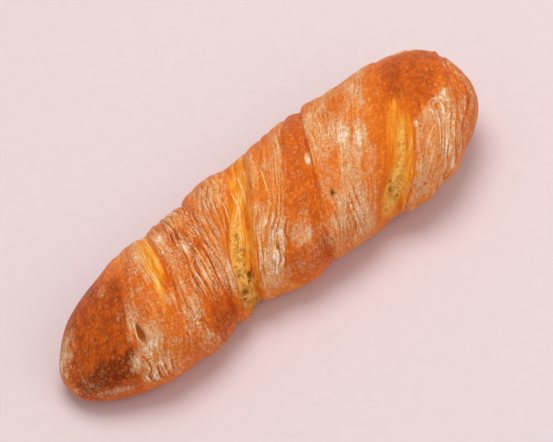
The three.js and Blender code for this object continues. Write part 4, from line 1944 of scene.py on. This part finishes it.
    def material(self, groups: Groups) -> bpy.types.Material:
        """The crust's material.

        Args:
            groups: the shared groups, by name.

        Returns:
            The material.
        """
        kit = MaterialKit("baked_crust")
        place = kit.place()
        wrap = kit.add("ShaderNodeUVMap", uv_map="wrap").outputs["UV"]
        wide, thin = (kit.mask(groups["streaks"], wrap, *kind) for kind in self.streaks)
        folds = kit.group(groups["folds"], {"Wrap": wrap, "Count": self.fold_count}).outputs
        specks, dots, mottle, sparks, clouds = (
            kit.mask(groups["speckle"], place, *kind)
            for kind in (self.specks, self.dots, self.mottle, self.sparks, self.clouds)
        )
        bubbles = kit.group(groups["bubbles"], {"Place": place}).outputs
        bake, gold, wrinkle, crumb = map(kit.attribute, ("bake", "gold", "wrinkle", "crumb"))
        streaks = kit.blend(thin, wide, 0.5)
        fine_mottle = kit.blend(dots, mottle, 0.5)
        least_streaks, more_streaks = self.streak_shares
        keen = kit.math("ADD", kit.times(wrinkle, more_streaks), least_streaks, clamp=True)
        least_sparks, more_sparks = self.spark_shares
        lit = kit.plus(kit.times(kit.ramp(bake, *self.spark_levels), more_sparks), least_sparks)
        skin = kit.group(self.crust_colours(), {
            "Bake": bake, "Gold": gold,
            "Mottle": kit.blend(fine_mottle, clouds, self.cloud_share_of_bake),
            "Fibres": streaks, "Sparks": kit.times(sparks, lit),
        })
        # Fold crests add flour, partly as a painted highlight; fold cracks get painted shade.
        fine_crest = kit.times(kit.times(folds["Crest"], wrinkle), self.crest_share)
        fine_crack = kit.times(kit.times(folds["Crack"], wrinkle), self.fine_crack_share)
        dusted = kit.group(self.flour_and_painted_fold_shading(), {
            "Color": skin.outputs[0], "Flour": kit.attribute("flour"),
            "Streaks": kit.plus(kit.centred(streaks, keen), 0.5),
            "Specks": kit.blend(specks, clouds, self.cloud_share_of_flour),
            "Crest": kit.larger(kit.attribute("crest"), fine_crest),
            "Crack": kit.larger(kit.attribute("crack"), fine_crack),
        })
        colour = kit.group(self.crumb_and_shade_colours(), {
            "Color": dusted.outputs["Color"], "Crumb": crumb, "Hole Shade": kit.attribute("hole_shade"),
            "Mottle": fine_mottle, "Bubble Shade": bubbles["Dark"], "Wall": bubbles["Wall"],
        })
        soft = kit.larger(gold, crumb)
        grained = kit.group(groups["grain"], {
            "Color": colour.outputs[0], "Specks": dots, "Streaks": thin,
            "Speck Share": kit.minus(self.speck_grain, kit.times(soft, self.soft_grain_loss)),
            "Streak Share": kit.times(keen, self.streak_grain),
        })
        matte = kit.larger(dusted.outputs["Mask"], crumb)
        spread = kit.times(matte, self.flour_roughness - self.skin_roughness)
        relief = (
            dots, kit.times(specks, matte), thin, kit.times(folds["Height"], wrinkle),
            kit.times(bubbles["Dark"], crumb),
        )
        return kit.finish({
            "Base Color": grained.outputs[0],
            "Roughness": kit.plus(spread, self.skin_roughness),
            "Normal": kit.bump(kit.total(tuple(zip(relief, self.bump_heights)))),
            "Specular IOR Level": self.gloss,
            "Specular Tint": linear(self.gloss_tint),
        })


@dataclass(frozen=True)
class PlainFinish:
    """A matte finish of two colours that wander into each other in small specks."""

    name: str
    first: Colour
    second: Colour
    grain: float
    roughness: float
    bump: float
    levels: Span = (0.25, 0.75)

    def material(self, groups: Groups) -> bpy.types.Material:
        """The finish's material.

        Args:
            groups: the shared groups, by name.

        Returns:
            The material.
        """
        kit = MaterialKit(self.name)
        specks = kit.mask(groups["speckle"], kit.place(), self.grain, *self.levels)
        return kit.finish({
            "Base Color": kit.mix(specks, linear(self.first), linear(self.second)),
            "Roughness": self.roughness,
            "Normal": kit.bump(kit.times(specks, self.bump)),
        })


# ---- studio


@dataclass(frozen=True)
class SoftLight:
    """A round area light that looks at the loaf from a direction. Lengths are in metres here."""

    name: str
    direction: tuple[float, float, float]
    distance: float
    size: float
    power: float

    def build(self) -> SceneObject:
        """Makes the light."""
        data = bpy.data.lights.new(self.name, "AREA")
        data.shape = "DISK"
        data.size = self.size
        data.energy = self.power
        light = bpy.data.objects.new(self.name, data)
        place = Vector(self.direction).normalized() * self.distance
        turn = place.to_track_quat("Z", "Y").to_matrix().to_4x4()
        light.matrix_world = Matrix.Translation(place) @ turn
        bpy.context.scene.collection.objects.link(light)
        return light


@dataclass(frozen=True)
class Studio:
    """A pale table, soft light from overhead with some from the camera's side, and the camera."""

    table_half_side: float = 3000.0
    table: PlainFinish = PlainFinish(
        "pale_table", (232, 215, 216), (234, 217, 218), grain=9.0, roughness=0.85, bump=0.0
    )
    surround: Colour = (255, 250, 250)
    surround_strength: float = 0.46
    lights: tuple[SoftLight, ...] = (
        SoftLight("window", (0.14, 0.16, 1.0), 1.6, 1.05, 13.5),
        SoftLight("fill", (0.3, -0.9, 0.9), 1.8, 1.2, 5.0),
    )
    image_width: float = 553.0
    image_height: float = 442.0
    focal_pixels: float = 2766.0
    middle_pixel: Span = (271.05, 222.07)
    look_at_height: float = 32.5
    distance: float = 1600.0
    elevation: float = 52.0
    azimuth: float = 28.0
    roll: float = 13.0
    sensor: float = 36.0

    def build_table(self, groups: Groups) -> SceneObject:
        """Makes the table as one square."""
        corners = np.array([[-1, -1, 0], [1, -1, 0], [1, 1, 0], [-1, 1, 0]], float)
        table = new_piece("table", corners * self.table_half_side, [[0, 1, 2, 3]])
        table.data.materials.append(self.table.material(groups))
        return table

    def build_light(self) -> None:
        """Makes the lights and the even light of the room."""
        for light in self.lights:
            light.build()
        world = bpy.data.worlds.new("room")
        world.use_nodes = True
        background = world.node_tree.nodes["Background"]
        background.inputs["Color"].default_value = linear(self.surround)
        background.inputs["Strength"].default_value = self.surround_strength
        bpy.context.scene.world = world
        bpy.context.scene.view_settings.view_transform = "Standard"

    def camera_axes(self) -> tuple[Array, Array, Array]:
        """The picture's right and up directions and the way back to the camera, rolled."""
        elevation, azimuth, roll = np.radians((self.elevation, self.azimuth, self.roll))
        level = np.array([np.sin(azimuth), np.cos(azimuth), 0.0])
        back = np.array([0.0, 0.0, np.sin(elevation)]) - level * np.cos(elevation)
        right = unit(np.cross(-back, [0.0, 0.0, 1.0]))
        up = np.cross(right, -back)
        return (
            right * np.cos(roll) - up * np.sin(roll),
            right * np.sin(roll) + up * np.cos(roll),
            back,
        )

    def build_camera(self, shift: Array) -> SceneObject:
        """Makes the camera, aimed so that the loaf falls where it lies in the picture.

        Args:
            shift: how far the loaf was moved to centre it.

        Returns:
            The camera.
        """
        right, up, back = self.camera_axes()
        per_pixel = self.distance / self.focal_pixels
        aim = np.array([0.0, 0.0, self.look_at_height]) + shift
        aim = aim + right * (self.image_width / 2.0 - self.middle_pixel[0]) * per_pixel
        aim = aim + up * (self.middle_pixel[1] - self.image_height / 2.0) * per_pixel
        place = (aim + back * self.distance) * METRE
        data = bpy.data.cameras.new("camera")
        data.sensor_width = self.sensor
        data.lens = self.focal_pixels / self.image_width * self.sensor
        camera = bpy.data.objects.new("camera", data)
        turn = Matrix((right, up, back)).transposed().to_4x4()
        camera.matrix_world = Matrix.Translation(Vector(place)) @ turn
        bpy.context.scene.collection.objects.link(camera)
        bpy.context.scene.camera = camera
        return camera


# ---- main


def main() -> None:
    """Builds the loaf and its studio, and reports each piece."""
    logging.basicConfig(level=logging.INFO, format="%(name)s: %(message)s")
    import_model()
    low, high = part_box("loaf")
    grid = SkinGrid()
    shift = grid.centred_on(np.array((low + high) / 2.0)[:2] / METRE)
    groups = Patterns().build()
    dough = PlainFinish(
        "stretched_dough", (238, 170, 96), (250, 212, 156), grain=1.6, roughness=0.7, bump=0.05
    )
    flour = PlainFinish(
        "baked_flour", (234, 192, 150), (248, 228, 204), grain=1.2, roughness=0.95, bump=0.0
    )
    pieces = [
        LoafSkin(grid).build(CrustFinish().material(groups)),
        DoughStrings(grid).build(dough.material(groups)),
        FlourGrains(grid).build(flour.material(groups)),
    ]
    for piece in pieces:
        LOG.info("%s: %d faces", piece.name, len(piece.data.polygons))
    studio = Studio()
    studio.build_table(groups)
    studio.build_light()
    studio.build_camera(shift)
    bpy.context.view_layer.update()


if __name__ == "__main__":
    main()
